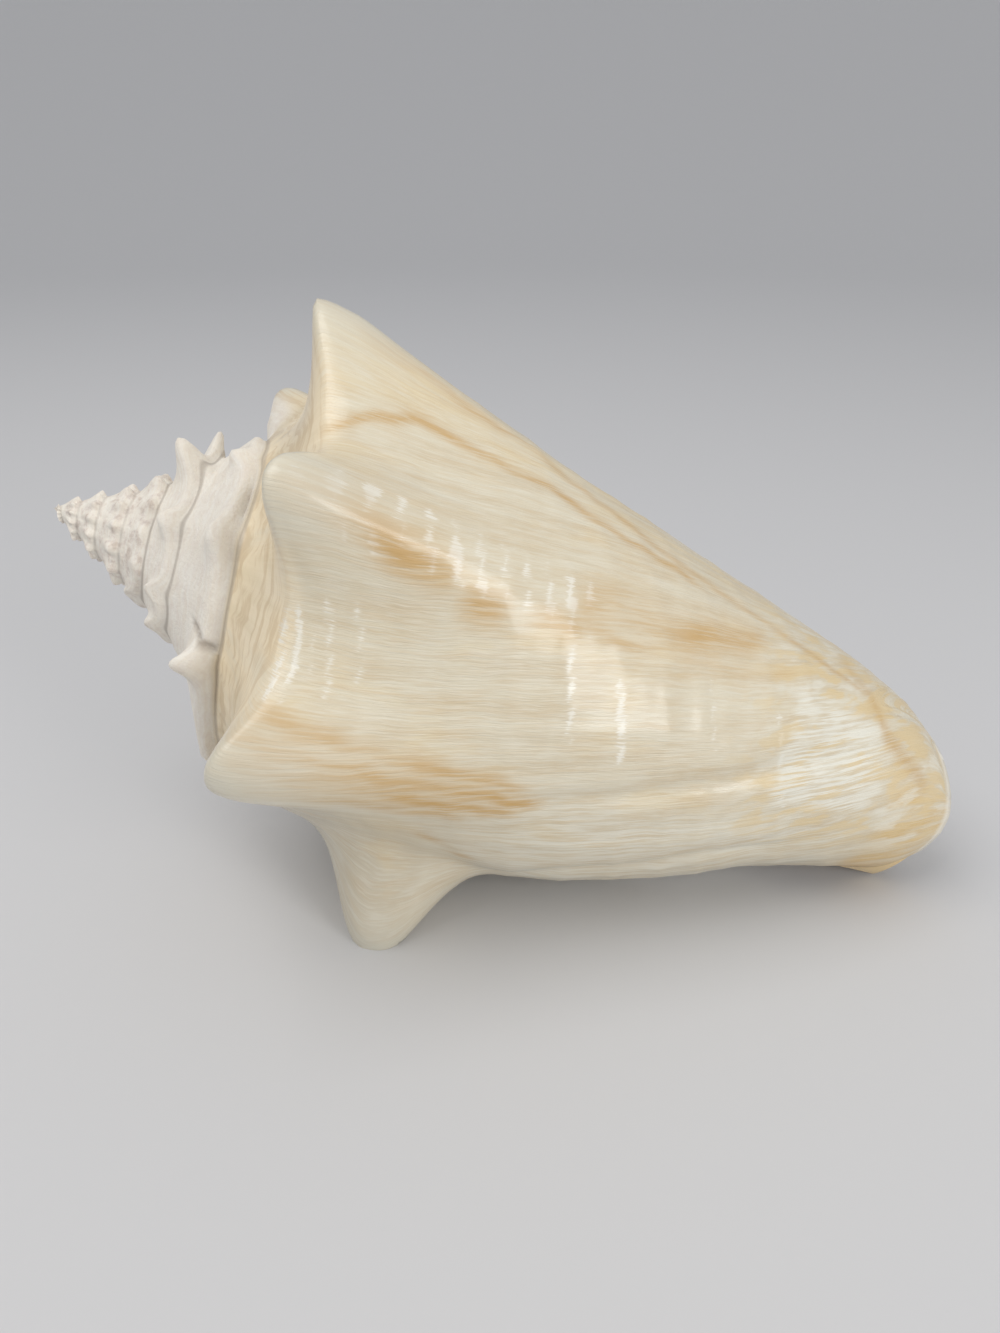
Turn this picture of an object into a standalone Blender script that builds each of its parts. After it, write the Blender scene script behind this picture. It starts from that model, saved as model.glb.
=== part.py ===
# A conch shell: one wall of shell coiled round an axis, with spines on its shoulder.
#
# Every point of the wall has three coordinates. Its azimuth turns round the coiling axis as the shell grows:
# 0 degrees faces the front, 90 the ground, and each whorl adds 360. Its place is measured along the axis from
# the apex, and its radius from the axis.

import math

import bmesh
import bpy
import numpy as np
from mathutils import Vector

MM = 0.001

# How the shell lies: the axis dips towards the canal, and turns a little towards the front
AXIS_DIP = math.radians(18.9)
AXIS_YAW = math.radians(-3.0)
APEX_HEIGHT = 93.0 * MM

# The coil, in degrees of azimuth, and how far behind the lip the hollow reaches
FULL_TURN = 360.0
LIP_AZIMUTH = 90.0
BODY_START = LIP_AZIMUTH - FULL_TURN
WHORLS = 7.75
HOLLOW_DEPTH = 210.0

# The suture, the seam between whorls: place and radius in mm by turn of azimuth
SUTURE_TURNS = (-6.5, -6.0, -5.0, -4.0, -3.0, -2.0, -1.0, -0.5, -0.38, -0.2, 0.0, 0.15, 0.3, 0.5, 1.0, 1.4)
SUTURE_PLACES = (0.0, 2.2, 7.0, 12.4, 19.4, 26.4, 34.5, 38.0, 39.0, 45.6, 49.5, 52.4, 55.4, 59.0, 70.0, 80.0)
SUTURE_RADII = (0.0, 1.6, 4.3, 7.2, 10.8, 15.0, 20.5, 26.0, 31.0, 29.6, 31.0, 37.0, 36.0, 37.0, 47.0, 52.0)

# The shoulder of a spire whorl: how far down the whorl it stands, how far it overhangs the seam below, and
# how straight the ramp up to it is
SHOULDER_SHARE = 0.72
SHOULDER_LIFT = 0.03
RAMP_SWELL = 0.9
RAMP_SPACING = 0.9

# The shoulder of the last whorl, by azimuth, in mm; it takes over from the spire's a little before the whorl
SHOULDER_AZIMUTHS = (-325.0, -275.0, -142.0, -90.0, -42.0, 11.0, 60.0, 110.0)
SHOULDER_PLACES = (48.2, 46.5, 50.5, 58.5, 64.0, 68.0, 70.0, 73.0)
SHOULDER_RADII = (34.0, 35.0, 38.5, 43.0, 46.0, 49.0, 50.5, 52.0)
SHOULDER_FROM = BODY_START - 82.0
SHOULDER_TO = BODY_START - 20.0
SHOULDER_OPENS = 40.0
SHOULDER_BLEND = 13.0 * MM

# Radius of the last whorl along its top outline and its bottom outline, in mm
TOP_AZIMUTH = -118.0
BOTTOM_AZIMUTH = 62.0
TOP_PLACES = (60.0, 80.0, 97.0, 115.0, 133.0, 154.0, 178.0, 205.0, 217.0, 226.0, 232.0)
TOP_RADII = (41.0, 44.5, 45.8, 43.8, 40.4, 35.6, 30.2, 21.6, 14.0, 9.0, 7.0)
BOTTOM_PLACES = (60.0, 80.0, 97.0, 115.0, 133.0, 147.0, 165.0, 178.0, 190.0, 203.0, 216.0, 226.0, 232.0)
BOTTOM_RADII = (48.0, 51.5, 52.5, 52.3, 49.8, 45.6, 39.2, 33.4, 29.0, 25.2, 21.6, 15.0, 11.5)

# How full the last whorl is as it opens out from the pillar to its whole girth
FULLNESS_AZIMUTHS = (BODY_START, -245.0, -222.0, -205.0, -185.0, -165.0)
FULLNESS = (0.0, 0.07, 0.42, 0.78, 0.95, 1.0)

# The pillar that the whorls coil round, seen inside the opening, in mm, and how it flares into the seam
PILLAR_PLACES = (40.0, 120.0, 180.0, 232.0)
PILLAR_RADII = (15.0, 11.0, 9.0, 8.0)
PILLAR_FLARE = 38.0 * MM
FLARE_POWER = 1.6

# The front end of the canal: how far the wall reaches along the axis, in mm, by azimuth
END_AZIMUTHS = (-480.0, -270.0, -240.0, -180.0, -118.0, -60.0, 0.0, 60.0, 90.0)
END_PLACES = (202.0, 222.5, 220.0, 210.0, 212.0, 219.0, 224.5, 223.5, 218.5)

# The fan at the end of the canal, on the pillar's side
FAN_AZIMUTH = BODY_START + 18.0
FAN_SPREAD = 42.0
FAN_FROM = 167.0 * MM
FAN_TO = 205.0 * MM
FAN_RISE = 16.5 * MM

# The lip's edge, by place in mm: how many degrees it stands past or short of the lip's azimuth
LIP_PLACES = (54.0, 75.0, 97.0, 110.0, 130.0, 150.0, 170.0, 186.0, 194.0, 203.0, 212.0, 222.0, 230.0)
LIP_SHIFTS = (0.0, 10.0, 17.0, 16.0, 0.0, -12.0, -16.0, -17.0, -19.0, -30.0, -28.0, -24.0, -26.0)
LIP_SHIFT_REACH = 75.0

# The wall: its thickness at the lip, deep inside and under the seam, and how the hollow closes behind
LIP_WALL = 3.2 * MM
DEEP_WALL = 5.5 * MM
SEAM_WALL = 5.0 * MM
WALL_THICKENS = 60.0
SEAM_THICKENS = 20.0
HOLLOW_LEAST = 2.5 * MM
CLOSING_FROM = 0.35
CLOSED_TO = 0.2
SEAM_SLOPE = 15.0
WALL_SLOPE = 90.0
CORNER_SHARE = 0.35

# The spines of the last whorl: azimuth, place of the base, then place and radius of the tip, in mm, then how
# far the spine spreads along the whorl, towards the apex, and towards the canal, and how blunt it is
BODY_SPINES = (
    (62.5, 99.5, 101.8, 79.0, 12.5, 13.0, 13.5, 2.6),
    (10.0, 70.0, 59.5, 67.0, 14.0, 9.0, 30.0, 1.7),
    (-42.0, 65.0, 53.8, 63.8, 12.5, 8.0, 32.0, 1.7),
    (-93.0, 60.0, 46.5, 65.0, 15.5, 7.5, 32.0, 1.7),
    (-137.0, 50.5, 38.5, 49.5, 11.5, 12.0, 18.0, 1.7),
    (-192.0, 48.5, 39.5, 51.0, 9.0, 7.0, 16.0, 1.7),
    (-245.0, 48.0, 42.0, 47.0, 8.0, 7.0, 13.0, 1.7),
    (108.0, 99.0, 102.0, 74.0, 10.0, 13.0, 15.0, 1.7),
)

# The spines left on the spire: azimuth, place and radius of the tip, in mm, then how far the spine spreads
# along the whorl, towards the apex, and towards the canal
SPIRE_SPINES = (
    (-300.0, 50.5, 45.5, 11.0, 5.0, 12.0),
    (-345.0, 41.0, 37.0, 6.0, 5.0, 6.0),
    (-395.0, 41.0, 33.0, 6.0, 5.0, 6.0),
    (-440.0, 37.5, 30.0, 5.0, 5.0, 5.0),
    (-492.0, 35.0, 33.0, 6.0, 4.0, 6.0),
    (-540.0, 34.0, 28.5, 5.0, 5.0, 5.0),
    (-590.0, 33.5, 27.5, 5.0, 5.0, 5.0),
    (-687.0, 30.0, 22.0, 4.0, 4.0, 4.5),
    (-714.0, 29.0, 20.5, 4.0, 4.0, 4.5),
    (-760.0, 28.0, 22.0, 4.0, 4.0, 4.0),
    (-808.0, 24.5, 26.5, 4.5, 4.5, 5.5),
    (-852.0, 27.5, 31.5, 5.5, 5.0, 6.0),
    (-1040.0, 22.5, 15.0, 3.5, 3.5, 3.5),
    (-1175.0, 21.0, 15.5, 4.0, 4.0, 4.0),
)
SPINE_POWER = 1.7
BLUNT_POWER = 2.0
TIP_SHARE = 0.25
TIP_SPREAD = 0.6
LEAN = 1.2
SEAM_CALM = 0.25
NEXT_SEAM_CALM = 0.2

# The knobs of the early whorls
NODULES_PER_TURN = 13
NODULE_RISE = 0.085
NODULE_END = -1080.0
NODULE_FADE = 90.0
NODULE_BAND = 0.3

# How finely the wall is divided, and how many triangles are kept of it
COLUMNS_PER_TURN = 72
SPIRE_ROWS = 8
BODY_ROWS = 44
TRIANGLES = 9400

SHELL_COLOUR = (0.80, 0.69, 0.50, 1.0)
SHELL_ROUGHNESS = 0.35
SMOOTH_ANGLE = math.radians(50.0)


def smoothCurve(x, places, values):
    """Curve through the values with no overshoot: cubic, with its slope set by the steps on either side."""
    x = np.asarray(x, float)
    places = np.asarray(places, float)
    values = np.asarray(values, float)
    steps = np.diff(places)
    slopes = np.diff(values) / steps
    before, after = slopes[:-1], slopes[1:]
    same = before * after > 0
    weightA = 2 * steps[1:] + steps[:-1]
    weightB = steps[1:] + 2 * steps[:-1]
    total = weightA / np.where(same, before, 1) + weightB / np.where(same, after, 1)
    tangents = np.zeros_like(values)
    tangents[1:-1] = np.where(same, (weightA + weightB) / np.where(same, total, 1), 0)
    tangents[0], tangents[-1] = slopes[0], slopes[-1]
    i = np.clip(np.searchsorted(places, x) - 1, 0, len(steps) - 1)
    s = np.clip((x - places[i]) / steps[i], 0, 1)
    return (
        values[i] * (1 + 2 * s) * (1 - s) ** 2
        + tangents[i] * steps[i] * s * (1 - s) ** 2
        + values[i + 1] * s * s * (3 - 2 * s)
        + tangents[i + 1] * steps[i] * s * s * (s - 1)
    )


def ramp(x, low, high):
    """Rises smoothly from 0 to 1 between the two values."""
    s = np.clip((np.asarray(x, float) - low) / (high - low), 0, 1)
    return s * s * (3 - 2 * s)


def suture(azimuth):
    turns = np.asarray(azimuth, float) / FULL_TURN
    place = smoothCurve(turns, SUTURE_TURNS, SUTURE_PLACES) * MM
    return place, smoothCurve(turns, SUTURE_TURNS, SUTURE_RADII) * MM


def shoulder(azimuth):
    """Place and radius of the shoulder: on the spire it follows the suture below it."""
    place0, radius0 = suture(azimuth)
    place1, radius1 = suture(np.asarray(azimuth) + FULL_TURN)
    spirePlace = place0 + SHOULDER_SHARE * (place1 - place0)
    spireRadius = radius1 + SHOULDER_LIFT * (place1 - place0)
    bodyPlace = smoothCurve(azimuth, SHOULDER_AZIMUTHS, SHOULDER_PLACES) * MM
    bodyRadius = smoothCurve(azimuth, SHOULDER_AZIMUTHS, SHOULDER_RADII) * MM
    onBody = ramp(azimuth, SHOULDER_FROM, SHOULDER_TO)
    return (
        spirePlace + (bodyPlace - spirePlace) * onBody,
        spireRadius + (bodyRadius - spireRadius) * onBody,
    )


def pillarRadius(azimuth, place):
    """The older whorls and the pillar below them, which the last whorl wraps."""
    seamPlace, seamRadius = suture(azimuth + FULL_TURN)
    core = smoothCurve(place / MM, PILLAR_PLACES, PILLAR_RADII) * MM
    below = np.maximum(place - seamPlace, 0)
    fall = np.exp(-((below / PILLAR_FLARE) ** FLARE_POWER))
    fan = FAN_RISE * np.exp(-(((azimuth - FAN_AZIMUTH) / FAN_SPREAD) ** 2))
    return core + (seamRadius - core) * fall + fan * ramp(place, FAN_FROM, FAN_TO)


def openRadius(azimuth, place):
    """The last whorl as it opens from the pillar to its whole girth, between its two outlines."""
    top = smoothCurve(place / MM, TOP_PLACES, TOP_RADII) * MM
    bottom = smoothCurve(place / MM, BOTTOM_PLACES, BOTTOM_RADII) * MM
    full = top * (bottom / top) ** ((azimuth - TOP_AZIMUTH) / (BOTTOM_AZIMUTH - TOP_AZIMUTH))
    fullness = smoothCurve(azimuth, FULLNESS_AZIMUTHS, FULLNESS)
    return pillarRadius(azimuth, place) * (1 - fullness) + full * fullness


def wallRadius(azimuth, place):
    """Outside of the last whorl below its shoulder, before its spines."""
    shoulderPlace, shoulderRadius = shoulder(azimuth)
    step = (shoulderRadius - openRadius(azimuth, shoulderPlace)) * ramp(
        azimuth, BODY_START, BODY_START + SHOULDER_OPENS
    )
    return openRadius(azimuth, place) + step * np.exp(-(((place - shoulderPlace) / SHOULDER_BLEND) ** 2))


def upperRows(azimuth, share):
    """Outside from the upper suture (share 0) over the shoulder to the next seam (share 1)."""
    place0, radius0 = suture(azimuth)
    place1, radius1 = suture(azimuth + FULL_TURN)
    shoulderPlace, shoulderRadius = shoulder(azimuth)
    onBody = ramp(azimuth, BODY_START, BODY_START + 1)
    radius1 = radius1 + (wallRadius(azimuth, place1) - radius1) * onBody
    up = np.clip(share / SHOULDER_SHARE, 0, 1)
    upPlace = place0 + (shoulderPlace - place0) * up**RAMP_SPACING
    bulge = np.sin(up * math.pi / 2) * onBody + up**RAMP_SWELL * (1 - onBody)
    upRadius = radius0 + (shoulderRadius - radius0) * bulge
    down = np.clip((share - SHOULDER_SHARE) / (1 - SHOULDER_SHARE), 0, 1)
    downPlace = shoulderPlace + (place1 - shoulderPlace) * down
    downRadius = shoulderRadius + (radius1 - shoulderRadius) * down**2
    below = share > SHOULDER_SHARE
    place = np.where(below, downPlace, upPlace)
    wall = wallRadius(azimuth, place)
    radius = np.where(below, downRadius + (wall - downRadius) * onBody, upRadius)
    return place, radius


def lowerRows(azimuth, share):
    """Outside from the next seam (share 0) to the end of the canal (share 1)."""
    place0, _ = suture(azimuth + FULL_TURN)
    end = smoothCurve(azimuth, END_AZIMUTHS, END_PLACES) * MM
    place = place0 + (end - place0) * share
    return place, wallRadius(azimuth, place)


def raiseSpines(azimuth, place, radius, spines):
    """Pulls the wall out into spines, each a leaning cone with a ridge that runs down towards the canal."""
    newPlace, newRadius = place.copy(), radius.copy()
    for at, basePlace, tipPlace, tipRadius, across, toApex, toCanal, power in spines:
        shoulderPlace, baseRadius = shoulder(np.array(at))
        if basePlace * MM > shoulderPlace + MM:
            baseRadius = wallRadius(np.array(at), np.array(basePlace * MM))
        along = np.abs(np.radians(azimuth - at) * baseRadius) / (across * MM)
        ahead = place - basePlace * MM
        down = np.maximum(ahead, 0) / (toCanal * MM)
        up = np.hypot(np.minimum(ahead, 0), np.minimum(radius - baseRadius, 0) * (ahead < 0))
        up = up / (toApex * MM)
        ridge = np.exp(-(along**power + down**power + up**power))
        tipDown = np.maximum(ahead, 0) / (across * MM)
        tip = np.exp(-(((along**2 + tipDown**2 + up**2) / TIP_SPREAD**2) ** (power / 2)))
        tipShare = TIP_SHARE if power < BLUNT_POWER else 0
        lift = ridge + (tip - ridge) * tipShare
        newRadius += lift * (tipRadius * MM - baseRadius)
        newPlace += lift**LEAN * (tipPlace - basePlace) * MM * np.exp(-down)
    return newPlace, newRadius


def lipShift(azimuth, place):
    """Degrees that the last part of the whorl is drawn forward or back, so that its edge takes the lip's line."""
    shift = smoothCurve(place / MM, LIP_PLACES, LIP_SHIFTS)
    return shift * ramp(azimuth, LIP_AZIMUTH - LIP_SHIFT_REACH, LIP_AZIMUTH)


def onAxisFrame(azimuth, place, radius):
    """World points, with the apex over the origin: the axis, the front and the ground directions."""
    level = math.cos(AXIS_DIP)
    axis = Vector((level * math.cos(AXIS_YAW), level * math.sin(AXIS_YAW), -math.sin(AXIS_DIP)))
    front = Vector((0, -1, 0))
    front = (front - axis * front.dot(axis)).normalized()
    ground = axis.cross(front)
    angle = np.radians(azimuth)[..., None]
    outward = np.cos(angle) * np.array(front) + np.sin(angle) * np.array(ground)
    points = np.asarray(place)[..., None] * np.array(axis) + np.asarray(radius)[..., None] * outward
    return points + np.array((0, 0, APEX_HEIGHT))


def outsideUpper(azimuth, share):
    place, radius = upperRows(azimuth, share)
    spireSpines = []
    for at, *spine in SPIRE_SPINES:
        shoulderPlace = float(shoulder(np.array(at))[0]) / MM
        spireSpines.append((at, shoulderPlace, *spine, SPINE_POWER))
    rise = NODULE_RISE * ramp(-azimuth, -NODULE_END, -NODULE_END + NODULE_FADE)
    wave = 0.5 + 0.5 * np.cos(np.radians(azimuth) * NODULES_PER_TURN)
    band = np.exp(-(((share - SHOULDER_SHARE) / NODULE_BAND) ** 2))
    radius = radius * (1 + rise * wave**2 * band)
    turned = azimuth + lipShift(azimuth, place)
    calm = np.where(azimuth < BODY_START, ramp(1 - share, 0.0, NEXT_SEAM_CALM), 1)
    calm = calm * ramp(share, 0.0, SEAM_CALM)
    newPlace, newRadius = raiseSpines(turned, place, radius, spireSpines)
    newPlace, newRadius = raiseSpines(turned, newPlace, newRadius, BODY_SPINES)
    place = place + (newPlace - place) * calm
    radius = radius + (newRadius - radius) * calm
    return onAxisFrame(turned, place, radius)


def outsideLower(azimuth, share):
    place, radius = lowerRows(azimuth, share)
    turned = azimuth + lipShift(azimuth, place)
    place, radius = raiseSpines(turned, place, radius, BODY_SPINES)
    return onAxisFrame(turned, place, radius)


def pillarRows(azimuth, share):
    """The pillar's side of the hollow, from just under the seam down to the canal."""
    seamPlace, _ = suture(azimuth + FULL_TURN)
    top = seamPlace + SEAM_WALL * ramp(BODY_START - azimuth, 0, SEAM_THICKENS)
    end = smoothCurve(azimuth, END_AZIMUTHS, END_PLACES) * MM
    place = top + (end - top) * share
    return place, pillarRadius(azimuth, place)


def insideRows(azimuth, row):
    """The inner face of the last whorl's wall: rows run from the seam over the shoulder to the canal."""
    upper = np.clip(row / SPIRE_ROWS, 0, 1)
    lower = np.clip((row - SPIRE_ROWS) / BODY_ROWS, 0, 1)
    placeA, radiusA = upperRows(azimuth, upper)
    placeB, radiusB = lowerRows(azimuth, lower)
    place = np.where(row <= SPIRE_ROWS, placeA, placeB)
    radius = np.where(row <= SPIRE_ROWS, radiusA, radiusB)
    depth = LIP_AZIMUTH - azimuth
    wall = LIP_WALL + (DEEP_WALL - LIP_WALL) * ramp(depth, 0, WALL_THICKENS)
    turn = np.radians(SEAM_SLOPE + (WALL_SLOPE - SEAM_SLOPE) * ramp(upper, 0, 1))
    clear = ramp(upper, 0, CORNER_SHARE)
    cornerPlace, cornerRadius = pillarRows(azimuth - FULL_TURN, np.zeros_like(azimuth))
    place = place + wall * np.cos(turn) * (row < SPIRE_ROWS + BODY_ROWS)
    radius = radius - wall * np.sin(turn)
    place = cornerPlace + (place - cornerPlace) * clear
    radius = cornerRadius + (radius - cornerRadius) * clear
    floor = pillarRadius(azimuth - FULL_TURN, place)
    radius = np.maximum(radius, floor + HOLLOW_LEAST * clear)
    closing = (1 - CLOSED_TO) * ramp(depth, HOLLOW_DEPTH * CLOSING_FROM, HOLLOW_DEPTH)
    radius = floor + (radius - floor) * (1 - closing * clear)
    return place, radius


def inside(azimuth, row):
    place, radius = insideRows(azimuth, row)
    return onAxisFrame(azimuth + lipShift(azimuth, place), place, radius)


class Wall:
    """Collects points and faces of the one closed surface."""

    def __init__(self):
        self.points = []
        self.faces = []

    def add(self, points):
        first = len(self.points)
        self.points.extend(np.reshape(points, (-1, 3)))
        return np.arange(first, len(self.points)).reshape(np.shape(points)[:-1])

    def sheet(self, grid):
        for left, right in zip(grid[:-1], grid[1:]):
            for corners in zip(left[:-1], left[1:], right[1:], right[:-1]):
                self.face(corners)

    def face(self, corners):
        kept = list(dict.fromkeys(int(corner) for corner in corners))
        if len(kept) > 2:
            self.faces.append(kept)

    def strip(self, lineA, lineB):
        """Joins two lines of points of any lengths, walking along both."""
        i = j = 0
        lastA, lastB = len(lineA) - 1, len(lineB) - 1
        while i < lastA or j < lastB:
            if j >= lastB or (i < lastA and (i + 1) * lastB <= (j + 1) * lastA):
                self.face((lineA[i], lineA[i + 1], lineB[j]))
                i += 1
            else:
                self.face((lineA[i], lineB[j + 1], lineB[j]))
                j += 1

    def fan(self, ring, centre):
        for a, b in zip(ring, np.roll(ring, -1)):
            self.face((a, b, centre))


def shellWall():
    """The whole shell as one closed surface: outside, lip, hollow and pillar."""
    wall = Wall()
    step = FULL_TURN / COLUMNS_PER_TURN
    columns = round(WHORLS * COLUMNS_PER_TURN) + 1
    last = columns - 1
    start = last - COLUMNS_PER_TURN
    deep = round(HOLLOW_DEPTH / step)
    azimuths = LIP_AZIMUTH - (last - np.arange(columns)) * step

    # Outside over the shoulders, whorl by whorl, each first row being the seam on the whorl before
    shares = np.linspace(0, 1, SPIRE_ROWS + 1)
    upper = wall.add(outsideUpper(*np.meshgrid(azimuths, shares, indexing="ij")))
    upper[0, :] = upper[0, 0]
    upper[: COLUMNS_PER_TURN + 1, 0] = upper[0, 0]
    upper[COLUMNS_PER_TURN:, 0] = upper[: columns - COLUMNS_PER_TURN, SPIRE_ROWS]
    wall.sheet(upper)

    # Outside of the last whorl, down to the end of the canal
    shares = np.linspace(0, 1, BODY_ROWS + 1)
    lower = wall.add(outsideLower(*np.meshgrid(azimuths[start:], shares, indexing="ij")))
    lower[:, 0] = upper[start:, SPIRE_ROWS]
    wall.sheet(lower)

    # The pillar's side of the hollow
    turned, share = np.meshgrid(azimuths[start - deep : start], shares, indexing="ij")
    place, radius = pillarRows(turned, share)
    pillar = np.vstack([wall.add(onAxisFrame(turned, place, radius)), lower[:1]])
    wall.sheet(pillar)

    # The inner face of the outer wall
    rows = np.arange(SPIRE_ROWS + BODY_ROWS + 1.0)
    inner = wall.add(inside(*np.meshgrid(azimuths[last - deep :], rows, indexing="ij")))
    inner[:, 0] = pillar[:, 0]
    wall.sheet(inner)

    # The lip's edge, the rim at the canal's end, the bottom of the hollow and the end of the pillar
    outer = np.hstack([upper[start:, :SPIRE_ROWS], lower])
    wall.strip(outer[-1], inner[-1])
    wall.strip(outer[last - start - deep :, -1], inner[:, -1])
    wall.strip(inner[0], pillar[0])
    ring = list(pillar[:, -1]) + list(lower[1 : last - start - deep + 1, -1]) + [inner[0, -1]]
    ring = list(dict.fromkeys(int(i) for i in ring))
    middle = np.mean([wall.points[i] for i in ring], axis=0)
    wall.fan(np.array(ring), wall.add(middle[None])[0])
    return wall


def closedMesh(wall):
    """The wall as triangles, every one facing out."""
    mesh = bpy.data.meshes.new("shell wall")
    mesh.from_pydata([tuple(point) for point in wall.points], [], wall.faces)
    work = bmesh.new()
    work.from_mesh(mesh)
    bmesh.ops.delete(work, geom=[v for v in work.verts if not v.link_faces], context="VERTS")
    bmesh.ops.recalc_face_normals(work, faces=work.faces)
    bmesh.ops.triangulate(work, faces=work.faces)
    work.to_mesh(mesh)
    work.free()
    return mesh


def thinOut(mesh):
    """The same surface with fewer triangles, kept where it bends most."""
    full = bpy.data.objects.new("shell wall", mesh)
    bpy.context.scene.collection.objects.link(full)
    collapse = full.modifiers.new("fewer triangles", "DECIMATE")
    collapse.ratio = TRIANGLES / len(mesh.polygons)
    bpy.context.view_layer.update()
    graph = bpy.context.evaluated_depsgraph_get()
    thin = bpy.data.meshes.new_from_object(full.evaluated_get(graph))
    bpy.data.objects.remove(full)
    return thin


def trimToGround(mesh):
    """Wears the tips that the shell rests on flat, level with the ground, and centres the shell over it."""
    work = bmesh.new()
    work.from_mesh(mesh)
    everything = work.verts[:] + work.edges[:] + work.faces[:]
    cut = bmesh.ops.bisect_plane(
        work, geom=everything, plane_co=(0, 0, 0), plane_no=(0, 0, 1), clear_inner=True
    )
    rims = [part for part in cut["geom_cut"] if isinstance(part, bmesh.types.BMEdge)]
    bmesh.ops.edgenet_fill(work, edges=rims)
    corners = np.array([v.co for v in work.verts])
    middle = (corners.min(axis=0) + corners.max(axis=0)) / 2
    bmesh.ops.translate(work, vec=(-middle[0], -middle[1], 0), verts=work.verts)
    bmesh.ops.triangulate(work, faces=work.faces)
    bmesh.ops.recalc_face_normals(work, faces=work.faces)
    work.to_mesh(mesh)
    work.free()


def buildShell():
    mesh = thinOut(closedMesh(shellWall()))
    trimToGround(mesh)
    mesh.name = "shell"
    mesh.shade_smooth()
    mesh.set_sharp_from_angle(angle=SMOOTH_ANGLE)
    material = bpy.data.materials.new("shell")
    material.use_nodes = True
    surface = material.node_tree.nodes["Principled BSDF"]
    surface.inputs["Base Color"].default_value = SHELL_COLOUR
    surface.inputs["Roughness"].default_value = SHELL_ROUGHNESS
    mesh.materials.append(material)
    shell = bpy.data.objects.new("shell", mesh)
    bpy.context.scene.collection.objects.link(shell)


for old in list(bpy.data.objects):
    bpy.data.objects.remove(old)
buildShell()
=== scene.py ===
# Conch shell at rest, with its opening down: a fine mesh of the shell with its finish, and a plain studio

import math

import bmesh
import bpy
import numpy as np
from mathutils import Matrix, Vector


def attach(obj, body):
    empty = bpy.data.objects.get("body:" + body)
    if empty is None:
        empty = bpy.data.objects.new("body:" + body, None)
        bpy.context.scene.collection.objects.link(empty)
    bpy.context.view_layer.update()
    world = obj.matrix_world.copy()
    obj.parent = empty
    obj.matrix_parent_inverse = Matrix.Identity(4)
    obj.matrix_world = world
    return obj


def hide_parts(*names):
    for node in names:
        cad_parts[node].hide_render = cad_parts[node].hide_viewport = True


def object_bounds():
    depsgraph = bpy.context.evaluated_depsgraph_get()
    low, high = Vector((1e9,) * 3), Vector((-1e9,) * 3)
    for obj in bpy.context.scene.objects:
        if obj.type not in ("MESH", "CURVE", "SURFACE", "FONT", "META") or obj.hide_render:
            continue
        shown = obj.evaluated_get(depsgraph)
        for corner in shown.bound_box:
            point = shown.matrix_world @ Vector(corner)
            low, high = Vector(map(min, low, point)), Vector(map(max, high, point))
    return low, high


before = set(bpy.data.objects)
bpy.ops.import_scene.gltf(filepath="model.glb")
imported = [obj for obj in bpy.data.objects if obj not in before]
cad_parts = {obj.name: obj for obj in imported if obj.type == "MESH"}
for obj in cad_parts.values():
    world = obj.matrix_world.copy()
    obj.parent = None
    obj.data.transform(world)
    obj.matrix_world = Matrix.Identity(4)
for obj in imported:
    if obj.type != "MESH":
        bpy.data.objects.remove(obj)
cadLow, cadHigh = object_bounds()
mm = 0.001
print("frame loaded")


# Maths used by the shell and its relief; every length is in millimetres

def curveThrough(x, places, values):
    # cubic through the values, never overshooting them
    x, places, values = (np.asarray(row, float) for row in (x, places, values))
    steps = np.diff(places)
    slopes = np.diff(values) / steps
    before, after = slopes[:-1], slopes[1:]
    same = before * after > 0
    weightA = 2 * steps[1:] + steps[:-1]
    weightB = steps[1:] + 2 * steps[:-1]
    total = weightA / np.where(same, before, 1) + weightB / np.where(same, after, 1)
    tangents = np.zeros_like(values)
    tangents[1:-1] = np.where(same, (weightA + weightB) / np.where(same, total, 1), 0)
    tangents[0], tangents[-1] = slopes[0], slopes[-1]
    i = np.clip(np.searchsorted(places, x) - 1, 0, len(steps) - 1)
    s = np.clip((x - places[i]) / steps[i], 0, 1)
    return (
        values[i] * (1 + 2 * s) * (1 - s) ** 2
        + tangents[i] * steps[i] * s * (1 - s) ** 2
        + values[i + 1] * s * s * (3 - 2 * s)
        + tangents[i + 1] * steps[i] * s * s * (s - 1)
    )


def ease(x, low, high):
    s = np.clip((np.asarray(x, float) - low) / (high - low), 0, 1)
    return s * s * (3 - 2 * s)


def hump(x, middle, halfWidth):
    return np.exp(-(((np.asarray(x, float) - middle) / halfWidth) ** 2))


def softNoise(x, y, seed=0.0):
    # smooth value noise from -1 to 1, the same on every run
    x, y = np.broadcast_arrays(np.asarray(x, float), np.asarray(y, float))
    x0, y0 = np.floor(x), np.floor(y)
    fx, fy = x - x0, y - y0
    fx, fy = fx * fx * (3 - 2 * fx), fy * fy * (3 - 2 * fy)

    def corner(i, j):
        h = np.sin(i * 127.1 + j * 311.7 + seed * 74.7) * 43758.5453
        return h - np.floor(h)

    low = corner(x0, y0) * (1 - fx) + corner(x0 + 1, y0) * fx
    high = corner(x0, y0 + 1) * (1 - fx) + corner(x0 + 1, y0 + 1) * fx
    return 2 * (low * (1 - fy) + high * fy) - 1


def between(x, low, high, soft):
    # 1 from low to high, fading to 0 at both ends
    return ease(x, low - soft, low + soft) * ease(-x, -high - soft, -high + soft)


def within(azimuth, place, region):
    # a region: the pairs over which it fades in and out along the azimuth, then in and out along the place
    shown = 1.0
    for values, sign, pair in zip((azimuth, azimuth, place, place), (1, -1, 1, -1), region):
        if pair:
            shown = shown * ease(sign * values, *sorted(sign * edge for edge in pair))
    return shown


# The shell's form, on its coiling axis: azimuth 0 faces the front, 90 the ground, a whorl adds 360

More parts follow.
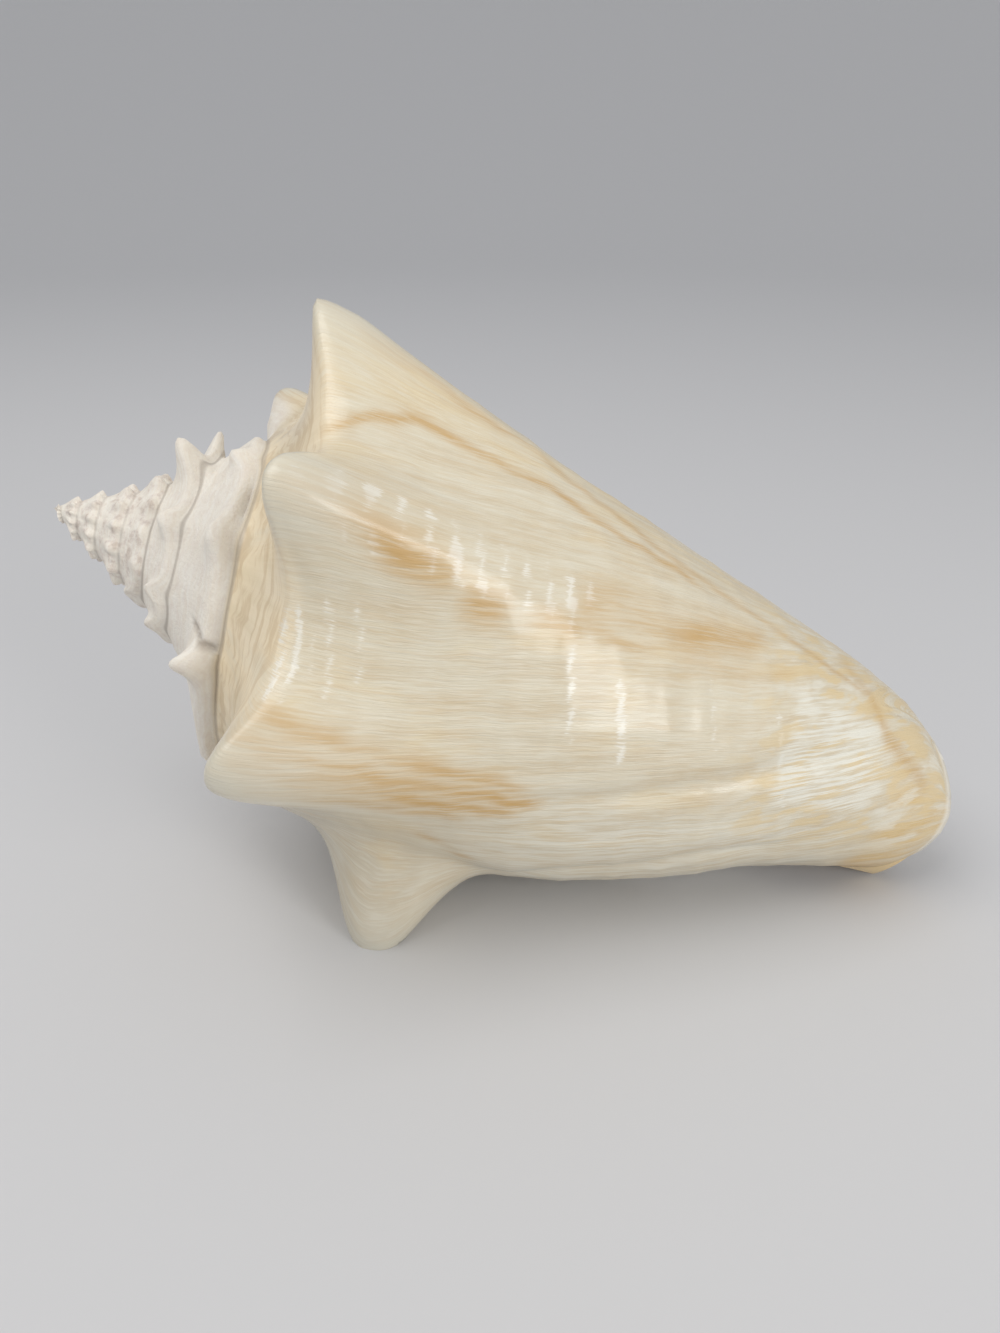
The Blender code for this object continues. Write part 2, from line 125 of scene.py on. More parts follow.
coil = {
    "axisDip": 18.9,  # degrees the axis dips towards the canal
    "axisYaw": -3.0,  # degrees it turns towards the front
    "apex": (-106.05, 10.86, 93.0),  # where the apex stands
    "lipAzimuth": 90.0,
    "whorls": 7.75,
    "hollowDepth": 210.0,  # degrees behind the lip that the hollow reaches
    # turns from azimuth 0, place and radius of the seam between the whorls
    "suture": (
        (-6.5, 0.0, 0.0), (-6.0, 2.2, 1.6), (-5.0, 7.0, 4.3), (-4.0, 12.4, 7.2), (-3.0, 19.4, 10.8),
        (-2.0, 26.4, 15.0), (-1.52, 30.2, 17.6), (-1.37, 31.4, 23.0), (-1.22, 32.7, 19.2),
        (-1.0, 34.5, 20.5), (-0.5, 38.0, 26.0), (-0.38, 39.0, 31.0), (-0.2, 45.6, 29.6),
        (0.0, 49.5, 31.0), (0.15, 52.4, 37.0), (0.3, 55.4, 36.0), (0.5, 59.0, 37.0), (1.0, 70.0, 47.0),
        (1.4, 80.0, 52.0),
    ),
}
bodyStart = coil["lipAzimuth"] - 360.0

shoulderLine = {
    "share": 0.72,  # how far down a whorl the shoulder stands
    "lift": 0.03,
    "swell": 0.9,
    "azimuths": (-325.0, -275.0, -142.0, -90.0, -42.0, 11.0, 60.0, 110.0),
    "places": (48.2, 46.5, 50.5, 58.5, 64.0, 68.0, 70.0, 73.0),
    "radii": (34.0, 35.0, 38.5, 43.0, 46.0, 49.0, 50.5, 52.0),
    "blend": 13.0,
    "joins": (bodyStart - 82.0, bodyStart - 20.0),  # where the spire's shoulder becomes the last whorl's
}

# its curves are two rows each: where along the place or the azimuth, and the value there
lastWhorl = {
    "topAzimuth": -118.0,
    "bottomAzimuth": 62.0,
    "top": (
        (60.0, 80.0, 97.0, 115.0, 133.0, 154.0, 178.0, 205.0, 217.0, 226.0, 232.0),
        (41.0, 44.5, 45.8, 43.8, 40.4, 35.6, 30.2, 21.6, 14.0, 9.0, 7.0),
    ),
    "bottom": (
        (60.0, 80.0, 97.0, 115.0, 133.0, 147.0, 165.0, 178.0, 190.0, 203.0, 216.0, 226.0, 232.0),
        (48.0, 51.5, 52.5, 52.3, 49.8, 45.6, 39.2, 33.4, 29.0, 25.2, 21.6, 15.0, 11.5),
    ),
    "opened": ((bodyStart, -245.0, -222.0, -205.0, -185.0, -165.0), (0.0, 0.07, 0.42, 0.78, 0.95, 1.0)),
    "end": (
        (-480.0, -270.0, -240.0, -180.0, -118.0, -60.0, 0.0, 60.0, 90.0),
        (202.0, 222.5, 220.0, 210.0, 212.0, 219.0, 224.5, 223.5, 218.5),
    ),
    # place on the lip's edge, and degrees that the edge is drawn back or forward there
    "lipEdge": (
        (54.0, 0.0), (75.0, 10.0), (97.0, 17.0), (110.0, 16.0), (130.0, 0.0), (150.0, -12.0), (170.0, -16.0),
        (181.0, -11.0), (189.0, -22.0), (197.0, -33.0), (205.0, -33.0), (212.0, -24.0), (222.0, -20.0),
        (230.0, -26.0),
    ),
    "lipReach": 75.0,
    "lipThin": 14.0,  # degrees behind the lip where the last growth is thin and wavy
}

pillar = {
    "core": ((40.0, 120.0, 180.0, 232.0), (15.0, 11.0, 9.0, 8.0)),
    "flare": 38.0,
    "flarePower": 1.6,
    "fanAzimuth": bodyStart + 18.0,
    "fanSpread": 42.0,
    "fanFrom": 167.0,
    "fanTo": 205.0,
    "fanRise": 16.5,
}

wallThickness = {"lip": 3.2, "deep": 5.5, "seam": 5.0, "least": 2.5, "closing": 0.35, "closedTo": 0.2}

# azimuth, place of the base, place and radius of the tip, spread across, to the apex, to the canal, fullness
bodySpines = (
    (62.5, 99.5, 101.8, 79.0, 12.5, 13.0, 13.5, 2.6),
    (10.0, 70.0, 59.5, 67.0, 14.0, 9.0, 30.0, 1.7),
    (-42.0, 65.0, 53.8, 63.8, 12.0, 8.0, 32.0, 1.7),
    (-93.0, 60.0, 46.5, 65.0, 15.5, 7.5, 32.0, 1.7),
    (-137.0, 50.5, 38.5, 49.5, 11.5, 12.0, 18.0, 1.7),
    (-192.0, 48.5, 39.5, 51.0, 9.0, 7.0, 16.0, 1.7),
    (-245.0, 48.0, 42.0, 47.0, 8.0, 7.0, 13.0, 1.7),
    (108.0, 99.0, 102.0, 74.0, 10.0, 13.0, 15.0, 1.7),
)

# these stand on the shoulder: azimuth, place and radius of the tip, spread across, to the apex, to the canal
spireSpines = (
    (-300.0, 50.5, 45.5, 11.0, 5.0, 12.0),
    (-345.0, 41.0, 36.0, 4.0, 3.2, 4.2),
    (-395.0, 41.0, 33.0, 6.0, 5.0, 6.0),
    (-440.0, 37.5, 30.0, 5.0, 5.0, 5.0),
    (-492.0, 36.5, 29.5, 5.0, 5.0, 5.0),
    (-540.0, 34.0, 28.5, 5.0, 5.0, 5.0),
    (-590.0, 33.5, 27.5, 5.0, 5.0, 5.0),
    (-687.0, 30.0, 22.0, 3.5, 3.5, 4.0),
    (-714.0, 29.0, 20.5, 3.5, 3.5, 4.0),
    (-760.0, 28.0, 22.0, 4.0, 4.0, 4.0),
    (-808.0, 24.5, 26.5, 4.5, 4.5, 5.5),
    (-852.0, 28.0, 31.5, 6.0, 5.0, 6.0),
    (-1040.0, 22.5, 15.0, 3.5, 3.5, 3.5),
    (-1175.0, 21.0, 15.5, 4.0, 4.0, 4.0),
)

spineShape = {
    "tipShare": 0.25,
    "tipSpread": 0.6,
    "lean": 1.2,
    "seamCalm": 0.15,
    "nextSeamCalm": 0.2,
    "narrow": 0.9,  # sides drawn in by this much, to make up for the rounder tip
    "crestPower": 1.5,  # lower makes the crest of a spine sharper
    "crestRound": 0.1,
    "blunt": 1.07,
    "bluntPower": 8.0,
    "spireFullness": 1.7,
    "pointedBelow": 2.0,  # a spine with less fullness than this has a sharp crest and a small round tip
}

nodules = {"perTurn": 13, "rise": 0.085, "end": -1080.0, "fade": 90.0, "band": 0.3}


def suture(azimuth):
    turns, places, radii = zip(*coil["suture"])
    at = np.asarray(azimuth, float) / 360.0
    return curveThrough(at, turns, places), curveThrough(at, turns, radii)


def shoulderAt(azimuth):
    place0, _ = suture(azimuth)
    place1, radius1 = suture(np.asarray(azimuth) + 360.0)
    spirePlace = place0 + shoulderLine["share"] * (place1 - place0)
    spireRadius = radius1 + shoulderLine["lift"] * (place1 - place0)
    bodyPlace = curveThrough(azimuth, shoulderLine["azimuths"], shoulderLine["places"])
    bodyRadius = curveThrough(azimuth, shoulderLine["azimuths"], shoulderLine["radii"])
    onBody = ease(azimuth, *shoulderLine["joins"])
    place = spirePlace + (bodyPlace - spirePlace) * onBody
    return place, spireRadius + (bodyRadius - spireRadius) * onBody


def pillarRadius(azimuth, place):
    seamPlace, seamRadius = suture(azimuth + 360.0)
    core = curveThrough(place, *pillar["core"])
    below = np.maximum(place - seamPlace, 0)
    fall = np.exp(-((below / pillar["flare"]) ** pillar["flarePower"]))
    fan = pillar["fanRise"] * hump(azimuth, pillar["fanAzimuth"], pillar["fanSpread"])
    return core + (seamRadius - core) * fall + fan * ease(place, pillar["fanFrom"], pillar["fanTo"])


def openRadius(azimuth, place):
    top = curveThrough(place, *lastWhorl["top"])
    bottom = curveThrough(place, *lastWhorl["bottom"])
    turn = (azimuth - lastWhorl["topAzimuth"]) / (lastWhorl["bottomAzimuth"] - lastWhorl["topAzimuth"])
    opened = curveThrough(azimuth, *lastWhorl["opened"])
    return pillarRadius(azimuth, place) * (1 - opened) + top * (bottom / top) ** turn * opened


def wallRadius(azimuth, place):
    shoulderPlace, shoulderRadius = shoulderAt(azimuth)
    step = (shoulderRadius - openRadius(azimuth, shoulderPlace)) * ease(azimuth, bodyStart, bodyStart + 40.0)
    return openRadius(azimuth, place) + step * hump(place, shoulderPlace, shoulderLine["blend"])


def upperRows(azimuth, share):
    # from the upper suture (share 0) over the shoulder to the next seam (share 1)
    place0, radius0 = suture(azimuth)
    place1, radius1 = suture(azimuth + 360.0)
    shoulderPlace, shoulderRadius = shoulderAt(azimuth)
    onBody = ease(azimuth, bodyStart, bodyStart + 1)
    radius1 = radius1 + (wallRadius(azimuth, place1) - radius1) * onBody
    up = np.clip(share / shoulderLine["share"], 0, 1)
    upPlace = place0 + (shoulderPlace - place0) * up ** 0.9
    bulge = np.sin(up * math.pi / 2) * onBody + up ** shoulderLine["swell"] * (1 - onBody)
    upRadius = radius0 + (shoulderRadius - radius0) * bulge
    down = np.clip((share - shoulderLine["share"]) / (1 - shoulderLine["share"]), 0, 1)
    downPlace = shoulderPlace + (place1 - shoulderPlace) * down
    downRadius = shoulderRadius + (radius1 - shoulderRadius) * down ** 2
    below = share > shoulderLine["share"]
    place = np.where(below, downPlace, upPlace)
    wall = wallRadius(azimuth, place)
    return place, np.where(below, downRadius + (wall - downRadius) * onBody, upRadius)


def lowerRows(azimuth, share):
    # from the next seam (share 0) to the end of the canal (share 1)
    place0, _ = suture(azimuth + 360.0)
    end = curveThrough(azimuth, *lastWhorl["end"])
    place = place0 + (end - place0) * share
    return place, wallRadius(azimuth, place)


def raiseSpines(azimuth, place, radius, spines):
    # every spine is a leaning cone with a ridge that runs down towards the canal
    newPlace, newRadius = place.copy(), radius.copy()
    tipNear = np.zeros_like(radius)
    for at, basePlace, tipPlace, tipRadius, across, toApex, toCanal, power in spines:
        shoulderPlace, baseRadius = shoulderAt(np.array(at))
        if basePlace > shoulderPlace + 1:
            baseRadius = wallRadius(np.array(at), np.array(basePlace))
        pointed = power < spineShape["pointedBelow"]
        if pointed:
            across = across * spineShape["narrow"]
        along = np.abs(np.radians(azimuth - at) * baseRadius) / across
        ahead = place - basePlace
        down = np.maximum(ahead, 0) / toCanal
        up = np.hypot(np.minimum(ahead, 0), np.minimum(radius - baseRadius, 0) * (ahead < 0)) / toApex
        crestRound = spineShape["crestRound"]
        crest = np.sqrt(along ** 2 + crestRound ** 2) - crestRound
        side = crest ** spineShape["crestPower"] if pointed else along ** power
        ridge = np.exp(-(side + down ** power + up ** power))
        tipDown = np.maximum(ahead, 0) / across
        tip = (along ** 2 + tipDown ** 2 + up ** 2) / spineShape["tipSpread"] ** 2
        tip = np.exp(-(tip ** (power / 2)))
        lift = ridge + (tip - ridge) * (spineShape["tipShare"] if pointed else 0)
        if pointed:
            blunt, bluntPower = spineShape["blunt"], spineShape["bluntPower"]
            rounded = (np.maximum(lift * blunt, 1e-6) ** -bluntPower + 1) ** (-1 / bluntPower)
            lift = rounded / (blunt ** -bluntPower + 1) ** (-1 / bluntPower)
        newRadius += lift * (tipRadius - baseRadius)
        newPlace += lift ** spineShape["lean"] * (tipPlace - basePlace) * np.exp(-down)
        tipNear = np.maximum(tipNear, lift)
    return newPlace, newRadius, tipNear


def lipShift(azimuth, place):
    shift = curveThrough(place, *zip(*lastWhorl["lipEdge"]))
    reach = ease(azimuth, coil["lipAzimuth"] - lastWhorl["lipReach"], coil["lipAzimuth"])
    thin = ease(azimuth, coil["lipAzimuth"] - lastWhorl["lipThin"], coil["lipAzimuth"])
    wave = 1.3 * softNoise(place / 7.0, 3.5, 5) + 0.6 * softNoise(place / 2.6, 9.5, 6)
    return shift * reach + wave * thin * ease(place, 112.0, 122.0) * ease(-place, -214.0, -204.0)


def onAxis(azimuth, place, radius):
    dip, yaw = math.radians(coil["axisDip"]), math.radians(coil["axisYaw"])
    axis = Vector((math.cos(dip) * math.cos(yaw), math.cos(dip) * math.sin(yaw), -math.sin(dip)))
    front = Vector((0, -1, 0))
    front = (front - axis * front.dot(axis)).normalized()
    ground = axis.cross(front)
    angle = np.radians(azimuth)[..., None]
    outward = np.cos(angle) * np.array(front) + np.sin(angle) * np.array(ground)
    points = np.asarray(place)[..., None] * np.array(axis) + np.asarray(radius)[..., None] * outward
    return (points + np.array(coil["apex"])) * mm


# Growth: lines of equal growth sweep back towards the canal; the relief and the colour follow them

growth = {
    "drift": (
        (65.0, 83.0, 101.0, 120.0, 140.0, 162.0, 187.0, 211.0, 225.0),
        (0.0, 2.0, 6.0, 11.0, 17.0, 25.0, 44.0, 80.0, 100.0),
    ),
    "bend": ((-150.0, -20.0, 5.0, 90.0), (0.2, 1.35, 1.0, 0.2)),
    "mmPerDegree": 0.8,
    "rounds": 30,  # enough for the azimuth of equal growth to settle
}


def growthAt(azimuth, place):
    drift = curveThrough(place, *growth["drift"])
    found = np.asarray(azimuth, float)
    for _ in range(growth["rounds"]):
        bend = curveThrough(found, *growth["bend"])
        found = azimuth + drift * bend
    return found * growth["mmPerDegree"]


relief = {
    "waves": 0.17,  # uneven growth, in mm
    "steps": 0.14,
    "cordPlaces": (
        64.3, 67.7, 74.0, 79.5, 89.0, 98.0, 109.0, 121.5, 133.0, 143.5, 152.0, 158.0, 171.0, 184.0,
    ),
    "cordAzimuths": (-95.0, 45.0),  # the cords slant between these
    "cordMiddle": -15.0,
    "cordSlant": 0.28,  # mm along the axis for each degree round it
    "cordRise": 0.24,
    "cordWidth": 1.7,
    "groove": ((-32.0, -5.0, 6.0), (187.0, 154.0, 126.0)),
    "grooveWidth": 8.0,
    "grooveRegion": ((-48.0, -30.0), (0.0, 22.0), None, None),
    "grooveDepth": 1.1,
    "crease": (
        (96.0, 109.0, 123.0, 135.0, 152.0, 164.0, 173.0, 186.0),
        (42.0, 43.0, 47.0, 37.0, 32.0, 25.0, 23.0, 20.0),
    ),
    "creaseRegion": (None, None, (98.0, 116.0), (172.0, 190.0)),
    "creaseDepth": 0.9,
    "creaseWidth": 3.0,
    "swellAway": -9.0,  # mm from the crease to the low swelling beside it
    "swellWidth": 6.0,
    "swellRise": 0.5,
    "chalkGrain": 0.15,
}


def cordPlace(azimuth, place):
    return place - relief["cordSlant"] * (np.clip(azimuth, *relief["cordAzimuths"]) - relief["cordMiddle"])


def bodyRelief(azimuth, place):
    grown = growthAt(azimuth, place)
    onBody = ease(azimuth, bodyStart, bodyStart + 60)
    below = ease(place, 58.0, 70.0)
    wave = softNoise(grown / 5.2, place / 60.0, 1) + 0.6 * softNoise(grown / 2.1, place / 30.0, 2)
    wave = relief["waves"] * wave
    step = relief["steps"] * np.abs(softNoise(grown / 9.0, place / 90.0, 3)) ** 0.5
    cords = np.zeros_like(wave)
    for n, at in enumerate(relief["cordPlaces"]):
        sway = 0.5 * softNoise(azimuth / 26.0, n * 3.3, 4)
        strength = 0.6 + 0.5 * softNoise(grown / 3.0, n * 5.1, 7)
        cords += hump(cordPlace(azimuth, place), at + sway, relief["cordWidth"]) * strength
    groovePlace = curveThrough(azimuth, *relief["groove"])
    groove = hump(place, groovePlace, relief["grooveWidth"])
    groove = groove * within(azimuth, place, relief["grooveRegion"])
    creaseAt = curveThrough(place, *relief["crease"])
    away = (azimuth - creaseAt) * growth["mmPerDegree"]
    ends = within(azimuth, place, relief["creaseRegion"])
    crease = hump(away, 0.0, relief["creaseWidth"]) * ends
    swell = hump(away, relief["swellAway"], relief["swellWidth"]) * ends
    return (
        (wave - step) * (0.35 + 0.65 * below) * onBody
        + relief["cordRise"] * cords * onBody
        - relief["grooveDepth"] * groove
        - relief["creaseDepth"] * crease
        + relief["swellRise"] * swell
    )


def roundNoise(azimuth, place, radius, size, seed):
    # noise as wide as it is long, mixed from a side view and a top view of the shell
    angle = np.radians(azimuth)
    sideView = softNoise(radius * np.sin(angle) / size, place / size, seed)
    topView = softNoise(radius * np.cos(angle) / size, place / size, seed + 30)
    return sideView * np.cos(angle) ** 2 + topView * np.sin(angle) ** 2


def flapEdge(azimuth, share):
    # degrees from the edge of a broken flap of the whorl before
    return azimuth + 355.0 - 9.0 * (share - 0.6) + 1.5 * softNoise(share * 9.0, 2.0, 15)


def smallPit(azimuth, share):
    return hump(azimuth, -447.0, 4.0) * hump(share, 0.62, 0.11)


def spireRelief(azimuth, place, radius, share):
    # worn chalky whorls: grain, small pits, thin raised sutures, sharp little nodules on the oldest ones
    early = ease(-azimuth, 940.0, 1120.0)
    old = ease(-azimuth, 250.0, 330.0)
    grain = roundNoise(azimuth, place, radius, 1.7, 11) + 0.5 * roundNoise(azimuth, place, radius, 0.9, 12)
    grain = relief["chalkGrain"] * grain
    pits = -0.45 * ease(roundNoise(azimuth, place, radius, 2.0, 13), 0.35, 0.7)
    turnWave = 0.5 + 0.5 * np.cos(np.radians(azimuth) * nodules["perTurn"])
    knob = turnWave ** 1.5 * hump(share, 0.64, 0.24) * (0.75 + 0.4 * softNoise(azimuth / 27.0, 1.5, 16))
    axial = 0.03 * softNoise(azimuth / 3.0, place / 30.0, 14)
    axial = axial + 0.05 * softNoise(azimuth / 70.0, place / 0.9, 17)
    seam = 0.35 * hump(share, 0.05, 0.04) - 0.25 * hump(share, 0.93, 0.05)
    fresh = 0.5 * hump(share, 0.07, 0.05) * ease(azimuth, -150.0, -110.0) * ease(-azimuth, -60.0, -20.0)
    rough = grain * (0.1 + 0.65 * early) + pits * early * 0.7 + axial + seam * (1 - 0.6 * early)
    # the flap with a crack along its edge, and two small hollows
    edge = flapEdge(azimuth, share)
    flap = 0.8 * ease(edge, -0.6, 0.6) * ease(-azimuth, 290.0, 330.0) - 0.9 * hump(edge, 0.0, 1.2)
    flap = flap * ease(share, 0.42, 0.52)
    pit = -1.6 * smallPit(azimuth, share)
    pocket = -1.2 * hump(azimuth, -413.0, 12.0) * hump(share, 0.93, 0.13)
    return old * (rough + flap + pit + pocket) + knob * early * 0.7 + fresh


def outsideUpper(azimuth, share):
    place, radius = upperRows(azimuth, share)
    older = []
    for at, *shape in spireSpines:
        older.append((at, float(shoulderAt(np.array(at))[0]), *shape, spineShape["spireFullness"]))
    rise = nodules["rise"] * ease(-azimuth, -nodules["end"], -nodules["end"] + nodules["fade"])
    wave = 0.5 + 0.5 * np.cos(np.radians(azimuth) * nodules["perTurn"])
    radius = radius * (1 + rise * wave ** 2 * hump(share, shoulderLine["share"], nodules["band"]))
    turned = azimuth + lipShift(azimuth, place)
    calm = np.where(azimuth < bodyStart, 0.5 + 0.5 * ease(1 - share, 0.0, spineShape["nextSeamCalm"]), 1)
    calm = calm * ease(share, 0.0, spineShape["seamCalm"])
    newPlace, newRadius, tipA = raiseSpines(turned, place, radius, older)
    newPlace, newRadius, tipB = raiseSpines(turned, newPlace, newRadius, bodySpines)
    away = ease(1 - share, 0.0, 0.08) * ease(share, 0.0, 0.03)
    away = np.where(azimuth < bodyStart, away, ease(share, 0.0, 0.03))
    shown = place + (newPlace - place) * calm
    radius = radius + (newRadius - radius) * calm
    radius = radius + spireRelief(azimuth, place, radius, share) * away + bodyRelief(turned, place) * away
    return onAxis(turned, shown, radius), turned, place, np.maximum(tipA, tipB) * calm, share


def outsideLower(azimuth, share):
    place, radius = lowerRows(azimuth, share)
    turned = azimuth + lipShift(azimuth, place)
    shown, radius, tip = raiseSpines(turned, place, radius, bodySpines)
    calm = 1 - 0.8 * ease(tip, 0.2, 0.7)
    radius = radius + bodyRelief(turned, place) * calm * ease(azimuth, bodyStart, bodyStart + 12)
    return onAxis(turned, shown, radius), turned, place, tip, 1 + share


def pillarRows(azimuth, share):
    seamPlace, _ = suture(azimuth + 360.0)
    top = seamPlace + wallThickness["seam"] * ease(bodyStart - azimuth, 0, 20.0)
    end = curveThrough(azimuth, *lastWhorl["end"])
    place = top + (end - top) * share
    return place, pillarRadius(azimuth, place)


def insideRows(azimuth, upper, lower):
    onUpper = lower <= 0
    placeA, radiusA = upperRows(azimuth, upper)
    placeB, radiusB = lowerRows(azimuth, lower)
    place, radius = np.where(onUpper, placeA, placeB), np.where(onUpper, radiusA, radiusB)
    depth = coil["lipAzimuth"] - azimuth
    wall = wallThickness["lip"] + (wallThickness["deep"] - wallThickness["lip"]) * ease(depth, 0, 60.0)
    turn = np.radians(15.0 + 75.0 * ease(upper, 0, 1))
    clear = ease(upper, 0, 0.35)
    cornerPlace, cornerRadius = pillarRows(azimuth - 360.0, np.zeros_like(azimuth))
    place = place + wall * np.cos(turn) * (lower < 1)
    radius = radius - wall * np.sin(turn)
    place = cornerPlace + (place - cornerPlace) * clear
    radius = cornerRadius + (radius - cornerRadius) * clear
    floor = pillarRadius(azimuth - 360.0, place)
    radius = np.maximum(radius, floor + wallThickness["least"] * clear)
    deepest = coil["hollowDepth"]
    closing = (1 - wallThickness["closedTo"]) * ease(depth, deepest * wallThickness["closing"], deepest)
    return place, floor + (radius - floor) * (1 - closing * clear)


# The mesh: one closed surface whose points carry what the finish needs

fineness = {"columnsPerTurn": 300, "spireRows": 13, "bodyRows": 112, "hollowRows": 56}

surface = {name: [] for name in ("points", "azimuth", "place", "tip", "share", "side", "faces", "inner")}


def addPoints(points, azimuth, place, tip, share, side):
    first = len(surface["points"])
    shape = np.shape(points)[:-1]
    surface["points"].extend(np.reshape(points, (-1, 3)))
    given = {"azimuth": azimuth, "place": place, "tip": tip, "share": share, "side": side}
    for name, values in given.items():
        surface[name].extend(np.broadcast_to(values, shape).ravel())
    return np.arange(first, len(surface["points"])).reshape(shape)


def addFace(corners, inner):
    kept = list(dict.fromkeys(int(corner) for corner in corners))
    if len(kept) > 2:
        surface["faces"].append(kept)
        surface["inner"].append(inner)


def addSheet(grid, inner):
    for left, right in zip(grid[:-1], grid[1:]):
        for corners in zip(left[:-1], left[1:], right[1:], right[:-1]):
            addFace(corners, inner)


def addStrip(lineA, lineB, inner):
    i = j = 0
    lastA, lastB = len(lineA) - 1, len(lineB) - 1
    while i < lastA or j < lastB:
        if j >= lastB or (i < lastA and (i + 1) * lastB <= (j + 1) * lastA):
            addFace((lineA[i], lineA[i + 1], lineB[j]), inner)
            i += 1
        else:
            addFace((lineA[i], lineB[j + 1], lineB[j]), inner)
            j += 1


def gridOf(azimuths, rows):
    return np.meshgrid(azimuths, np.linspace(0, 1, rows + 1), indexing="ij")


def makeSurface():
    perTurn, spireRows = fineness["columnsPerTurn"], fineness["spireRows"]
    step = 360.0 / perTurn
    last = round(coil["whorls"] * perTurn)
    start = last - perTurn
    deep = round(coil["hollowDepth"] / step)
    azimuths = coil["lipAzimuth"] - (last - np.arange(last + 1)) * step

    # outside over the shoulders: the first row of each whorl is the seam on the whorl before
    points, turned, place, tip, share = outsideUpper(*gridOf(azimuths, spireRows))
    upper = addPoints(points, turned, place, tip, share, 0)
    upper[0, :] = upper[0, 0]
    upper[: perTurn + 1, 0] = upper[0, 0]
    upper[perTurn:, 0] = upper[: last + 1 - perTurn, spireRows]
    # the seam's points carry the azimuth and the share of the newer whorl
    for point in upper[perTurn:, 0]:
        surface["azimuth"][point] += 360.0
        surface["share"][point] = 0.0
    addSheet(upper, 0)

    # outside of the last whorl, down to the end of the canal
    points, turned, place, tip, share = outsideLower(*gridOf(azimuths[start:], fineness["bodyRows"]))
    lower = addPoints(points, turned, place, tip, share, 0)
    lower[:, 0] = upper[start:, spireRows]
    addSheet(lower, 0)

    # the pillar's side of the hollow
    rows = fineness["hollowRows"]
    turned, share = gridOf(azimuths[start - deep : start], rows)
    place, radius = pillarRows(turned, share)
    columella = addPoints(onAxis(turned, place, radius), turned + 360, place, 0, share, 1)
    addSheet(columella, 1)
    addStrip(columella[-1], lower[0], 1)

    # the inner face of the outer wall
    upperShares = np.concatenate([np.linspace(0, 1, spireRows + 1), np.ones(rows)])
    lowerShares = np.concatenate([np.zeros(spireRows + 1), np.linspace(0, 1, rows + 1)[1:]])
    turned = np.repeat(azimuths[last - deep :, None], len(upperShares), axis=1)
    upperShare = np.repeat(upperShares[None], len(turned), axis=0)
    lowerShare = np.repeat(lowerShares[None], len(turned), axis=0)
    place, radius = insideRows(turned, upperShare, lowerShare)
    turned = turned + lipShift(turned, place)
    inner = addPoints(onAxis(turned, place, radius), turned, place, 0, upperShare + lowerShare, 1)
    inner[:-1, 0] = columella[:, 0]
    inner[-1, 0] = lower[0, 0]
    addSheet(inner, 1)

    # the lip's edge, the rim at the canal's end, the bottom of the hollow and the end of the pillar
    outer = np.hstack([upper[start:, :spireRows], lower])
    addStrip(outer[-1], inner[-1], 0)
    addStrip(outer[perTurn - deep :, -1], inner[:, -1], 0)
    addStrip(inner[0], columella[0], 1)
    ring = list(columella[:, -1]) + list(lower[: perTurn - deep + 1, -1]) + [inner[0, -1]]
    ring = list(dict.fromkeys(int(i) for i in ring))
    middle = np.mean([surface["points"][i] for i in ring], axis=0)
    centre = int(addPoints(middle[None], 0, 220, 0, 2, 0)[0])
    for a, b in zip(ring, np.roll(ring, -1)):
        addFace((int(a), int(b), centre), 0)
    print("shell surface:", len(surface["faces"]), "faces")


makeSurface()


# Colour zones, painted on the points by where they are on the shell

